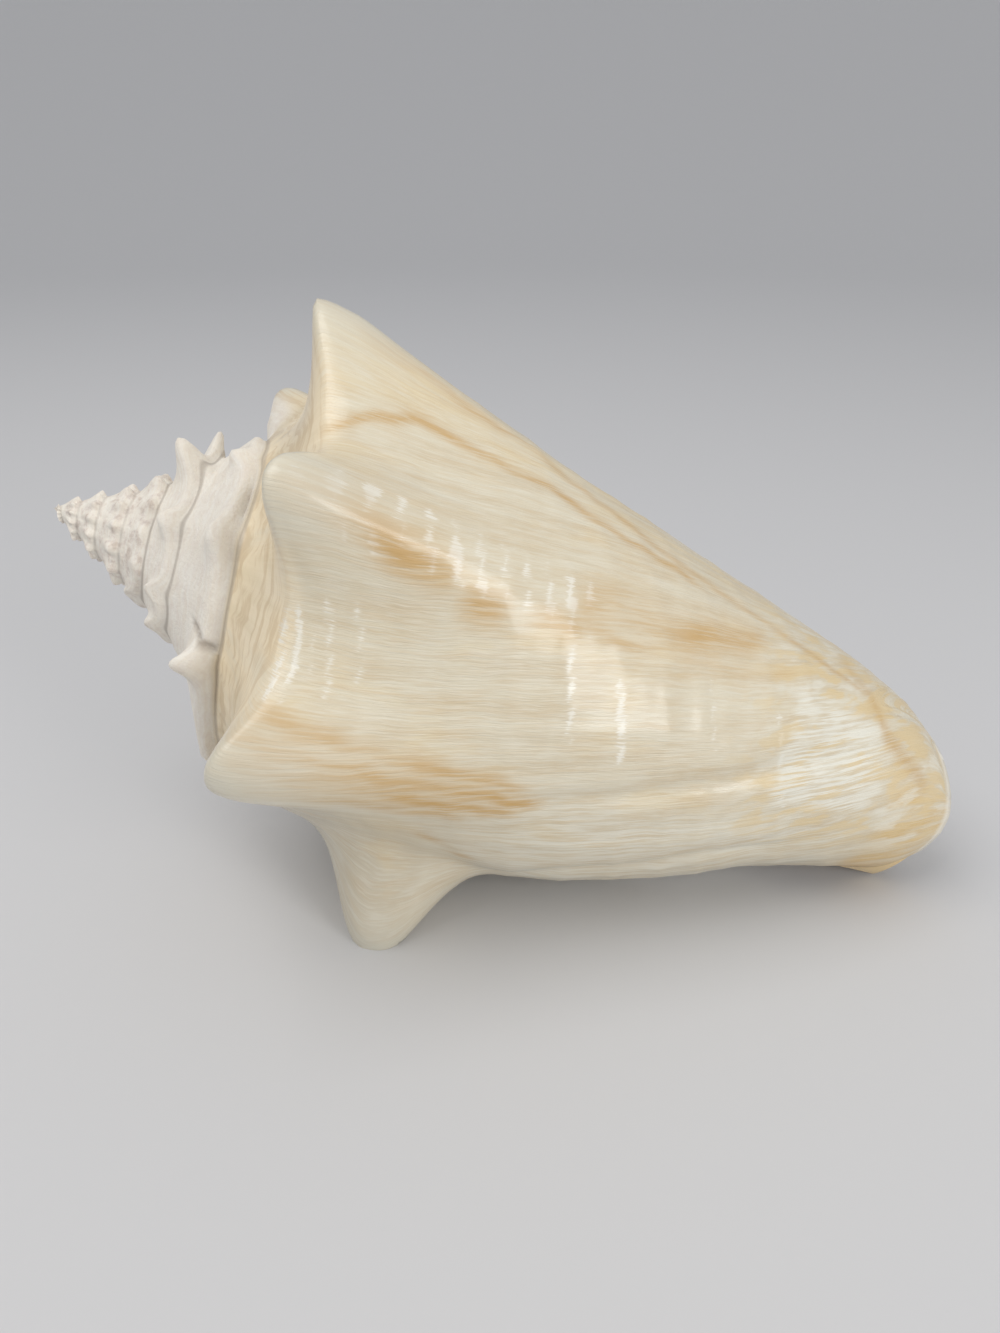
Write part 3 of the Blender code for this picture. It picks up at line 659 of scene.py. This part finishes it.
zones = {
    "regions": {
        "chalk": (None, (-290.0, -210.0), None, (56.0, 70.0)),
        "chalkyLedge": (None, (-126.0, -112.0), None, (44.5, 48.5)),
        "gold": ((-40.0, -18.0), (50.0, 80.0), (200.0, 207.0), None),
        "patchy": ((-125.0, -100.0), (0.0, 30.0), (150.0, 178.0), None),
        # painted shade: the lower body, facing the ground, greyer and darker
        "lowShadeGrey": ((18.0, 58.0), None, None, (95.0, 140.0)),
        "lowPale": ((-2.0, 12.0), None, (100.0, 130.0), (190.0, 203.0)),
        # white streaks at the canal end: partly the shell's own white, partly a painted highlight
        "whiteStreaksAndSheen": ((-56.0, -44.0), (-8.0, 0.0), (169.0, 173.0), (190.0, 204.0)),
        # painted highlights: a lattice of small glints across the cords
        "glintLattice": ((-52.0, -47.0), (-38.0, -33.0), (62.0, 72.0), (116.0, 124.0)),
    },
    "upperEdge": (-77.0, 4.0),  # azimuth where the warm upper zone ends, and how softly
    "insideFromSeam": 9.0,  # keeps the dark of the suture out of the opening
    # each line of colour: places, azimuths, half width in mm, strength
    "stainLines": (
        ((60.0, 66.0, 79.0, 95.0, 107.0, 117.0, 130.0, 142.0),
         (-66.0, -70.7, -76.2, -74.6, -75.0, -71.3, -70.2, -69.0), 1.3, 1.0),
        ((58.0, 62.0, 79.0, 96.0, 117.0, 137.0, 160.0, 190.0),
         (-92.0, -89.6, -87.8, -87.5, -81.8, -74.0, -70.0, -66.0), 1.5, 0.75),
        ((68.0, 80.0, 95.0, 118.0), (-1.5, 0.5, 2.5, 4.0), 1.5, 0.8),
        ((68.0, 80.0, 95.0, 122.0), (2.5, 4.5, 6.5, 8.0), 1.6, 1.0),
        ((70.0, 84.0, 96.0, 118.0), (6.0, 8.0, 10.0, 11.5), 1.7, 1.0),
        ((74.0, 86.0, 108.0), (10.5, 12.5, 14.5), 1.5, 0.8),
        ((66.0, 71.0, 79.0, 84.0, 92.0), (-40.5, -41.3, -39.5, -37.2, -36.8), 3.4, 1.0),
        ((94.0, 98.0, 103.0), (-33.4, -34.0, -35.0), 2.8, 1.0),
        ((108.0, 113.0, 119.0), (-35.5, -36.2, -38.0), 2.6, 0.9),
        ((116.0, 126.0, 136.0, 148.0, 160.0), (-42.0, -46.0, -46.0, -52.0, -60.0), 5.0, 0.8),
        ((116.0, 126.0, 136.0), (-38.0, -37.5, -39.0), 1.8, 0.6),
        ((140.0, 154.0, 168.0), (-40.0, -44.0, -52.0), 2.4, 0.5),
        ((184.0, 191.0, 198.0, 205.0, 212.0), (-78.0, -67.0, -46.0, -38.0, -30.0), 5.0, 0.7),
        ((204.0, 213.0, 222.0), (50.0, 56.0, 60.0), 11.0, 0.9),
        ((101.0, 104.0, 107.0), (27.0, 28.2, 29.5), 1.3, 0.9),
        ((108.5, 111.5, 114.5), (33.0, 34.0, 35.0), 1.2, 0.9),
    ),
    # painted highlights: glints along the cords, drawn as white lines; place on the slanted cord, azimuth
    # from, to, half width in mm, strength
    "glintRidges": (
        (64.3, -23.0, -2.0, 0.8, 0.9),
        (67.6, -23.0, -3.0, 0.8, 0.8),
        (70.5, -20.0, -8.0, 0.5, 0.4),
        (74.0, -26.0, -6.0, 0.9, 0.6),
        (79.5, -27.0, -8.0, 0.8, 0.45),
        (121.6, -34.0, -10.0, 0.8, 0.75),
        (132.8, -29.0, -7.0, 1.0, 0.85),
        (155.0, -38.0, -17.0, 0.8, 0.5),
        (172.5, -36.0, -2.0, 0.7, 0.8),
    ),
}


def paintZones():
    names = ("azimuth", "place", "tip", "share", "side")
    azimuth, place, tip, share, side = (np.array(surface[name]) for name in names)
    grown = growthAt(azimuth, place)
    outside = side < 0.5
    edge, soft = zones["upperEdge"]
    edge = edge + 2.5 * softNoise(place / 9.0, 4.0, 21) - 10.0 * ease(-place, -62.0, -48.0)
    regions = {name: within(azimuth, place, region) for name, region in zones["regions"].items()}
    upper = ease(edge - azimuth, -soft, soft) * ease(azimuth, -220.0, -150.0)
    # the ledge under the suture: its own warm tone, made lighter as painted light
    ledge = ease(-share, -0.95, -0.5) * ease(azimuth, -150.0, -90.0) * outside * (share < 1)
    stain = np.zeros_like(grown)
    for places, azimuths, halfWidth, strength in zones["stainLines"]:
        away = (azimuth - curveThrough(place, places, azimuths)) * growth["mmPerDegree"]
        away = away + 0.5 * softNoise(place / 4.0, places[0], 22)
        ends = between(place, places[0], places[-1], 3.0)
        dashes = 0.8 + 0.25 * softNoise(place / 9.0, places[-1], 23)
        stain = np.maximum(stain, hump(away, 0.0, halfWidth) * ends * strength * dashes)
    # painted highlights: glints along the cords and in the lattice
    paintedGlints = np.zeros_like(grown)
    onCord = cordPlace(azimuth, place)
    for at, start, end, halfWidth, strength in zones["glintRidges"]:
        middle = hump(onCord, at + 0.3 * softNoise(azimuth / 3.0, at, 24), halfWidth)
        paintedGlints = np.maximum(paintedGlints, middle * between(azimuth, start, end, 2.0) * strength)
    glintSquares = ease(np.sin(onCord * 1.35), -0.1, 0.35)
    glintSquares = glintSquares * (0.55 + 0.45 * softNoise(grown / 2.6, onCord / 4.6, 25))
    paintedGlints = np.maximum(paintedGlints, regions["glintLattice"] * glintSquares)
    end = curveThrough(azimuth, *lastWhorl["end"])
    crack = hump(flapEdge(azimuth, share), 0.0, 1.3)
    hollows = smallPit(azimuth, share) + crack * ease(share, 0.44, 0.52) * (share <= 1)
    hollows = hollows + 0.4 * hump(azimuth, -413.0, 14.0) * hump(share, 0.95, 0.13)
    seamAway = np.where(azimuth < bodyStart, np.minimum(share, np.abs(1 - share)), share)
    whorlWidth = np.clip(suture(azimuth + 360.0)[0] - suture(azimuth)[0], 2.0, 16.0)
    x, y, z = np.array(surface["points"]).T / mm
    return {
        "xMm": x,
        "yMm": y,
        "zMm": z,
        "seamMm": seamAway * whorlWidth + zones["insideFromSeam"] * (side > 0.5),
        "growthMm": grown,
        "placeMm": place,
        "chalk": np.maximum(regions["chalk"], regions["chalkyLedge"]) * outside,
        "upperWarmth": upper * outside,
        "ledgeWarmthAndLight": ledge,
        "gold": regions["gold"] * outside,
        "stain": stain * outside,
        "lowShadeGrey": regions["lowShadeGrey"] * outside,
        "whiteStreaksAndSheen": np.maximum(regions["whiteStreaksAndSheen"], 0.5 * regions["lowPale"]) * outside,
        "paintedGlints": paintedGlints * outside,
        "hollows": np.clip(hollows, 0, 1) * outside,
        "canalEnd": ease(place, 186.0, 206.0),
        "rim": ease(place - end, -2.4, -1.0) * outside,
        "patchy": regions["patchy"] * outside,
        "tipWhite": ease(tip, 0.45, 0.95) * outside,
        "depth": np.clip((coil["lipAzimuth"] - azimuth) / coil["hollowDepth"], 0, 1),
        "early": ease(-azimuth, 900.0, 1120.0) * outside,
        "ledgeLines": ease(-share, -0.72, -0.5) * outside,
        "ledgeMm": share * (14.0 + 4.0 * hump(azimuth, 5.0, 40.0)),
    }


def addObject(name, data):
    made = bpy.data.objects.new(name, data)
    bpy.context.scene.collection.objects.link(made)
    return made


def makeShell():
    mesh = bpy.data.meshes.new("shellFine")
    mesh.from_pydata([tuple(point) for point in surface["points"]], [], surface["faces"])
    for name, values in paintZones().items():
        mesh.attributes.new(name, "FLOAT", "POINT").data.foreach_set("value", np.asarray(values, np.float32))
    mesh.polygons.foreach_set("material_index", np.array(surface["inner"], np.int32))
    work = bmesh.new()
    work.from_mesh(mesh)
    bmesh.ops.delete(work, geom=[v for v in work.verts if not v.link_faces], context="VERTS")
    bmesh.ops.recalc_face_normals(work, faces=work.faces)
    everything = work.verts[:] + work.edges[:] + work.faces[:]
    floorPlane = {"plane_co": (0, 0, 0), "plane_no": (0, 0, 1)}
    cut = bmesh.ops.bisect_plane(work, geom=everything, clear_inner=True, **floorPlane)
    rims = [part for part in cut["geom_cut"] if isinstance(part, bmesh.types.BMEdge)]
    bmesh.ops.edgenet_fill(work, edges=rims)  # the worn feet
    bmesh.ops.triangulate(work, faces=work.faces)
    bmesh.ops.recalc_face_normals(work, faces=work.faces)
    corners = np.array([v.co for v in work.verts])
    low, high = corners.min(axis=0), corners.max(axis=0)
    margin = 2e-5  # metres kept free inside the CAD box
    roomLow = np.maximum(low, np.array(cadLow) + (margin, margin, 0))
    roomHigh = np.minimum(high, np.array(cadHigh) - margin)
    size = (roomHigh - roomLow) / (high - low)
    for v in work.verts:
        v.co = Vector(roomLow + (np.array(v.co) - low) * size)
    work.to_mesh(mesh)
    work.free()
    mesh.shade_smooth()
    sharpFrom = 62  # degrees between faces, as at the worn feet
    mesh.set_sharp_from_angle(angle=math.radians(sharpFrom))
    print("shell mesh:", len(mesh.polygons), "triangles, scaled by", [round(float(s), 4) for s in size])
    return addObject("conchShell", mesh)


shell = makeShell()


# Finish

def link(tree, source, target):
    tree.links.new(source, target)


def addNode(tree, kind, **settings):
    node = tree.nodes.new(kind)
    for name, value in settings.items():
        setattr(node, name, value)
    return node


def fieldOf(tree, name):
    field = addNode(tree, "ShaderNodeAttribute", attribute_type="GEOMETRY", attribute_name=name)
    return field.outputs["Fac"]


def setSocket(tree, socket, value):
    # a number or a colour is set on the socket itself, an output is linked, a word names a field of the mesh
    if isinstance(value, tuple):
        socket.default_value = (*value, 1.0)
    elif isinstance(value, (int, float)):
        socket.default_value = value
    elif isinstance(value, str):
        link(tree, fieldOf(tree, value), socket)
    else:
        link(tree, value, socket)


def mathNode(tree, operation, first, second, clamp=False):
    node = addNode(tree, "ShaderNodeMath", operation=operation, use_clamp=clamp)
    setSocket(tree, node.inputs[0], first)
    setSocket(tree, node.inputs[1], second)
    return node.outputs[0]


def times(tree, first, second):
    return mathNode(tree, "MULTIPLY", first, second)


def plus(tree, first, second):
    return mathNode(tree, "ADD", first, second)


def mapRange(tree, value, low, high, toLow=0.0, toHigh=1.0):
    node = addNode(tree, "ShaderNodeMapRange", interpolation_type="SMOOTHSTEP")
    names = ("Value", "From Min", "From Max", "To Min", "To Max")
    for name, given in zip(names, (value, low, high, toLow, toHigh)):
        setSocket(tree, node.inputs[name], given)
    return node.outputs["Result"]


def noiseNode(tree, vector, scale, detail=2.0, roughness=0.5):
    node = addNode(tree, "ShaderNodeTexNoise", noise_dimensions="3D")
    names = ("Vector", "Scale", "Detail", "Roughness")
    for name, given in zip(names, (vector, scale, detail, roughness)):
        setSocket(tree, node.inputs[name], given)
    return node.outputs["Fac"]


def combine(tree, x, y, z=0.0):
    node = addNode(tree, "ShaderNodeCombineXYZ")
    for socket, value in zip(node.inputs, (x, y, z)):
        setSocket(tree, socket, value)
    return node.outputs[0]


def mixColour(tree, share, first, second):
    node = addNode(tree, "ShaderNodeMix", data_type="RGBA", clamp_factor=True)
    for index, value in ((0, share), (6, first), (7, second)):
        setSocket(tree, node.inputs[index], value)
    return node.outputs[2]


def addGroup(tree, group, inputs):
    node = addNode(tree, "ShaderNodeGroup", node_tree=group)
    for name, value in inputs.items():
        setSocket(tree, node.inputs[name], value)
    return node


def addBump(tree, shader, height, look):
    bump = addNode(tree, "ShaderNodeBump")
    bump.inputs["Strength"].default_value = look["bump"]
    bump.inputs["Distance"].default_value = look["bumpDepth"]
    link(tree, height, bump.inputs["Height"])
    link(tree, bump.outputs["Normal"], shader.inputs["Normal"])


def painter(tree, look):
    # gives a function that lays one of the look's colours over another
    return lambda under, colour, share: mixColour(tree, share, under, look[colour])


def newMaterial(name):
    material = bpy.data.materials.new(name)
    material.use_nodes = True
    return material, material.node_tree, material.node_tree.nodes["Principled BSDF"]


def addSockets(group, inputs, outputs):
    for name, value in inputs.items():
        socket = group.interface.new_socket(name=name, in_out="INPUT", socket_type="NodeSocketFloat")
        socket.default_value = value
    for name in outputs:
        group.interface.new_socket(name=name, in_out="OUTPUT", socket_type="NodeSocketFloat")
    return addNode(group, "NodeGroupInput"), addNode(group, "NodeGroupOutput")


def makeGrowthLines():
    # streaks that run along the lines of growth: hair-fine, fine and broad ones, and their relief
    group = bpy.data.node_groups.new("growthLines", "ShaderNodeTree")
    inputs = {"Growth": 0.0, "Place": 0.0, "Spacing": 1.0, "Length": 16.0, "Waviness": 0.5}
    given, out = addSockets(group, inputs, ("Hair", "Fine", "Broad", "Relief"))
    growthIn, placeIn = given.outputs["Growth"], given.outputs["Place"]
    slow = combine(group, times(group, growthIn, 0.16), times(group, placeIn, 0.09))
    sway = mathNode(group, "SUBTRACT", noiseNode(group, slow, 1.0, 2.0), 0.5)
    sway = times(group, sway, times(group, given.outputs["Waviness"], 4.0))
    across = mathNode(group, "DIVIDE", plus(group, growthIn, sway), given.outputs["Spacing"])
    along = mathNode(group, "DIVIDE", placeIn, given.outputs["Length"])
    hairAt = combine(group, times(group, across, 2.6), times(group, along, 2.2), 3.0)
    hair = noiseNode(group, hairAt, 1.0, 2.0, 0.6)
    fine = noiseNode(group, combine(group, across, along, 7.0), 1.0, 3.0, 0.62)
    broadAt = combine(group, times(group, across, 0.24), times(group, along, 0.42), 11.0)
    broad = noiseNode(group, broadAt, 1.0, 2.0, 0.5)
    heights = plus(group, times(group, fine, 0.65), times(group, hair, 0.35))
    for name, noise, low in (("Hair", hair, 0.32), ("Fine", fine, 0.34), ("Broad", broad, 0.34)):
        link(group, mapRange(group, noise, low, 1 - low), out.inputs[name])
    link(group, heights, out.inputs["Relief"])
    return group


def makeSpiralBands():
    # bands that run round the whorl, across the growth lines
    group = bpy.data.node_groups.new("spiralBands", "ShaderNodeTree")
    given, out = addSockets(group, {"Growth": 0.0, "Place": 0.0, "Width": 5.0}, ("Bands",))
    across = mathNode(group, "DIVIDE", given.outputs["Place"], given.outputs["Width"])
    along = times(group, given.outputs["Growth"], 0.035)
    bands = noiseNode(group, combine(group, along, across, 21.0), 1.0, 2.0, 0.5)
    link(group, mapRange(group, bands, 0.36, 0.64), out.inputs["Bands"])
    return group


growthLines = makeGrowthLines()
spiralBands = makeSpiralBands()

outsideFinish = {
    "cream": (0.665, 0.565, 0.395),
    "pale": (0.75, 0.69, 0.54),
    "upper": (0.76, 0.635, 0.41),
    "ledge": (0.93, 0.79, 0.56),
    "gold": (0.72, 0.51, 0.22),
    "patch": (0.76, 0.585, 0.31),
    "stain": (0.58, 0.36, 0.125),
    "tip": (0.69, 0.67, 0.57),
    # white of the canal's rim, and of the painted glints
    "rimWhiteAndGlint": (0.90, 0.87, 0.78),
    "tan": (0.62, 0.45, 0.25),
    "lowShadeGrey": (0.62, 0.555, 0.43),
    "white": (0.84, 0.82, 0.72),
    "chalk": (0.90, 0.86, 0.78),
    "chalkPink": (0.79, 0.71, 0.65),
    "darkTone": (0.36, 0.31, 0.26),
    "roughness": 0.42,
    "chalkRoughness": 0.75,
    "coat": 0.5,
    "coatRoughness": 0.14,
    "bump": 0.5,
    "bumpDepth": 0.0007,
    "lines": {"Spacing": 0.72, "Length": 15.0, "Waviness": 0.3},
    "bandWidth": 6.0,
    "ledgeGrain": {"Spacing": 0.9, "Length": 16.0, "Waviness": 0.9},
}


def makeOutsideMaterial(look):
    material, tree, shader = newMaterial("shellOutside")
    over = painter(tree, look)
    growthIn, placeIn = fieldOf(tree, "growthMm"), fieldOf(tree, "placeMm")
    lines = addGroup(tree, growthLines, {"Growth": growthIn, "Place": placeIn, **look["lines"]})
    bands = addGroup(tree, spiralBands, {"Growth": growthIn, "Place": placeIn, "Width": look["bandWidth"]})
    hair, fine, broad = (lines.outputs[name] for name in ("Hair", "Fine", "Broad"))
    ground = over(look["cream"], "pale", times(tree, broad, 0.75))
    ground = over(ground, "pale", times(tree, bands.outputs["Bands"], 0.25))
    ground = over(ground, "upper", times(tree, "upperWarmth", mapRange(tree, broad, 0.0, 1.0, 0.9, 0.45)))
    # painted shade on the lower body
    ground = over(ground, "lowShadeGrey", times(tree, "lowShadeGrey", 0.7))
    # the ledge: its warm tone, plus painted light
    ground = over(ground, "ledge", times(tree, "ledgeWarmthAndLight", 0.95))
    ground = over(ground, "gold", times(tree, "gold", mapRange(tree, broad, 0.2, 0.9, 1.0, 0.35)))
    # fine tan and pale streaks everywhere
    cloud = noiseNode(tree, combine(tree, growthIn, times(tree, placeIn, 0.45), 8.0), 0.11, 3.0, 0.55)
    ground = over(ground, "upper", mapRange(tree, cloud, 0.5, 0.72, 0.0, 0.6))
    ground = over(ground, "pale", mapRange(tree, cloud, 0.5, 0.3, 0.0, 0.5))
    streak = times(tree, mapRange(tree, fine, 0.3, 1.0), mapRange(tree, cloud, 0.3, 0.7, 0.12, 0.34))
    offLedge = mapRange(tree, "ledgeLines", 0.0, 1.0, 1.0, 0.1)
    ground = over(ground, "tan", times(tree, streak, offLedge))
    ground = over(ground, "white", times(tree, mapRange(tree, hair, 0.3, 1.0, 0.0, 0.26), offLedge))
    # painted highlights: glints on the cords, broken by the hair-fine lines
    glintsBroken = mathNode(tree, "SUBTRACT", "paintedGlints", times(tree, hair, 0.55))
    ground = over(ground, "rimWhiteAndGlint", times(tree, mapRange(tree, glintsBroken, 0.05, 0.4), 0.75))
    # gold and white patches towards the canal
    patchAt = combine(tree, times(tree, growthIn, 0.2), times(tree, placeIn, 0.09), 31.0)
    patch = noiseNode(tree, patchAt, 1.0, 3.0, 0.55)
    patchShare = times(tree, "patchy", 0.7)
    ground = over(ground, "patch", times(tree, mapRange(tree, patch, 0.49, 0.58), patchShare))
    ground = over(ground, "white", times(tree, mapRange(tree, patch, 0.48, 0.36, 0.0, 0.75), patchShare))
    # white streaks at the canal end: partly the shell's own, partly painted highlight
    ground = over(ground, "white", times(tree, "whiteStreaksAndSheen", mapRange(tree, fine, 0.75, 0.15, 0.1, 0.95)))
    broken = plus(tree, times(tree, fine, 0.5), times(tree, hair, 0.25))
    ground = over(ground, "stain", times(tree, "stain", mapRange(tree, broken, 0.15, 0.45, 0.5, 1.0)))
    ground = over(ground, "tip", times(tree, "tipWhite", 0.6))
    ground = over(ground, "rimWhiteAndGlint", times(tree, "rim", 0.8))
    # lines along the ledge under the suture
    ledgeIn = {"Growth": "ledgeMm", "Place": growthIn, **look["ledgeGrain"]}
    ledgeGrain = addGroup(tree, growthLines, ledgeIn)
    grain = ledgeGrain.outputs["Fine"]
    grained = times(tree, "ledgeLines", mapRange(tree, grain, 0.3, 1.0))
    ground = over(ground, "tan", times(tree, grained, 0.5))
    # chalky spire
    spotAt = combine(tree, "xMm", "yMm", "zMm")
    spot = noiseNode(tree, spotAt, 0.42, 4.0, 0.6)
    pinkish = plus(tree, times(tree, "early", 0.55), 0.35)
    pinkish = times(tree, mapRange(tree, spot, 0.42, 0.66), pinkish)
    chalk = over(look["chalk"], "chalkPink", pinkish)
    chalk = over(chalk, "darkTone", times(tree, "early", mapRange(tree, spot, 0.52, 0.72, 0.0, 0.35)))
    chalk = over(chalk, "tan", times(tree, grain, 0.16))
    chalky = fieldOf(tree, "chalk")
    colour = mixColour(tree, chalky, ground, chalk)
    # darker in the pits, along the crack and in the pocket
    colour = over(colour, "darkTone", times(tree, "hollows", 0.75))
    # darker along the sutures, less on the oldest whorls
    seam = mapRange(tree, "seamMm", 0.1, 0.45, 0.5, 0.0)
    colour = over(colour, "darkTone", times(tree, seam, mapRange(tree, "early", 0.0, 1.0, 1.0, 0.45)))
    link(tree, colour, shader.inputs["Base Color"])

    rough = plus(tree, times(tree, fine, 0.16), look["roughness"] - 0.08)
    chalkRough = times(tree, chalky, look["chalkRoughness"] - look["roughness"])
    link(tree, mathNode(tree, "ADD", rough, chalkRough, clamp=True), shader.inputs["Roughness"])
    gloss = times(tree, mathNode(tree, "SUBTRACT", 1.0, chalky), look["coat"])
    link(tree, gloss, shader.inputs["Coat Weight"])
    shader.inputs["Coat Roughness"].default_value = look["coatRoughness"]
    grainy = times(tree, noiseNode(tree, spotAt, 1.3, 4.0, 0.65), times(tree, chalky, 0.8))
    lined = times(tree, lines.outputs["Relief"], mapRange(tree, chalky, 0.0, 1.0, 1.0, 0.1))
    lined = times(tree, lined, offLedge)
    threads = times(tree, "ledgeLines", 0.5)
    threads = times(tree, ledgeGrain.outputs["Relief"], threads)
    addBump(tree, shader, plus(tree, plus(tree, lined, grainy), threads), look)
    return material


mouthFinish = {
    "deep": (0.80, 0.42, 0.30),
    "middle": (0.86, 0.60, 0.46),
    "lip": (0.86, 0.78, 0.66),
    "canal": (0.74, 0.57, 0.30),
    "roughness": 0.16,
    "coat": 0.4,
    "coatRoughness": 0.1,
    "bump": 0.12,
    "bumpDepth": 0.0005,
    "lines": {"Spacing": 3.0, "Length": 30.0, "Waviness": 0.8},
}


def makeMouthMaterial(look):
    material, tree, shader = newMaterial("shellMouth")
    over = painter(tree, look)
    given = {"Growth": "growthMm", "Place": "placeMm", **look["lines"]}
    lines = addGroup(tree, growthLines, given)
    fine, broad = lines.outputs["Fine"], lines.outputs["Broad"]
    fade = plus(tree, "depth", times(tree, broad, 0.06))
    colour = over(look["lip"], "middle", mapRange(tree, fade, 0.05, 0.3))
    colour = over(colour, "deep", mapRange(tree, fade, 0.25, 0.7))
    colour = over(colour, "lip", times(tree, fine, 0.12))
    colour = over(colour, "canal", times(tree, "canalEnd", mapRange(tree, broad, 0.0, 1.0, 0.95, 0.7)))
    link(tree, colour, shader.inputs["Base Color"])
    rough = plus(tree, times(tree, fine, 0.08), look["roughness"])
    link(tree, rough, shader.inputs["Roughness"])
    shader.inputs["Coat Weight"].default_value = look["coat"]
    shader.inputs["Coat Roughness"].default_value = look["coatRoughness"]
    addBump(tree, shader, lines.outputs["Relief"], look)
    return material


shell.data.materials.append(makeOutsideMaterial(outsideFinish))
shell.data.materials.append(makeMouthMaterial(mouthFinish))
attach(shell, "root")
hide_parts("shell")
print("finish made")


# Camera, floor and light

studio = {
    "cameraAt": (-0.00305, -0.21114, 0.167),
    "cameraDown": 27.7,
    "lens": 27.0,
    "sensor": 36.0,
    "clipStart": 0.005,
    "aimHeight": 0.05,  # the lamps look at a point this far above the floor
    "floorFlat": 1.4,
    "floorRadius": 3.4,
    "floorRise": 1.3,
    "floorCurve": 2.2,
    "floorRings": 25,
    "floorStep": 4,  # degrees
    "floorRoughness": 0.85,
    "floorColour": (0.64, 0.64, 0.65),
    "worldColour": (0.97, 0.98, 1.0),
    "worldStrength": 0.60,
    "softbox": {"at": (-0.36, -0.20, 0.92), "size": (0.7, 0.7), "watts": 3.6, "colour": (1.0, 0.98, 0.95)},
    "window": {"at": (0.62, -0.72, 0.34), "size": (0.30, 0.60), "watts": 3.3, "colour": (1.0, 0.99, 0.97)},
}


def placeCamera():
    camera = addObject("camera", bpy.data.cameras.new("camera"))
    camera.location = studio["cameraAt"]
    camera.rotation_euler = (math.radians(90 - studio["cameraDown"]), 0, 0)
    camera.data.lens = studio["lens"]
    camera.data.sensor_width = studio["sensor"]
    camera.data.clip_start = studio["clipStart"]
    bpy.context.scene.camera = camera


def placeFloor():
    # flat around the shell, then it curves up all round, so that no horizon shows
    mesh = bpy.data.meshes.new("floor")
    work = bmesh.new()
    angles = np.radians(np.arange(0, 360, studio["floorStep"]))
    rings = []
    for share in np.linspace(0, 1, studio["floorRings"]):
        radius = studio["floorFlat"] + (studio["floorRadius"] - studio["floorFlat"]) * share
        height = studio["floorRise"] * share ** studio["floorCurve"]
        rings.append([work.verts.new((radius * math.cos(a), radius * math.sin(a), height)) for a in angles])
    work.faces.new(rings[0])
    for inner, outer in zip(rings[:-1], rings[1:]):
        for k in range(len(angles)):
            work.faces.new((inner[k - 1], outer[k - 1], outer[k], inner[k])).smooth = True
    work.to_mesh(mesh)
    work.free()
    floor = addObject("floor", mesh)
    material, _, shader = newMaterial("floorPale")
    shader.inputs["Base Color"].default_value = (*studio["floorColour"], 1.0)
    shader.inputs["Roughness"].default_value = studio["floorRoughness"]
    shader.inputs["Specular IOR Level"].default_value = 0.0
    mesh.materials.append(material)


def placeLight(name, setup):
    lamp = bpy.data.lights.new(name, "AREA")
    lamp.shape = "RECTANGLE"
    lamp.size, lamp.size_y = setup["size"]
    lamp.energy = setup["watts"]
    lamp.color = setup["colour"]
    lampObject = addObject(name, lamp)
    lampObject.location = setup["at"]
    aim = Vector((0, 0, studio["aimHeight"])) - Vector(setup["at"])
    lampObject.rotation_euler = aim.to_track_quat("-Z", "Y").to_euler()


placeCamera()
placeFloor()
placeLight("softbox", studio["softbox"])
placeLight("window", studio["window"])
world = bpy.data.worlds.new("studio")
world.use_nodes = True
background = world.node_tree.nodes["Background"]
background.inputs["Color"].default_value = (*studio["worldColour"], 1.0)
background.inputs["Strength"].default_value = studio["worldStrength"]
bpy.context.scene.world = world
bpy.context.scene.view_settings.view_transform = "Standard"  # true colours, as a plain photograph has them
print("studio set")
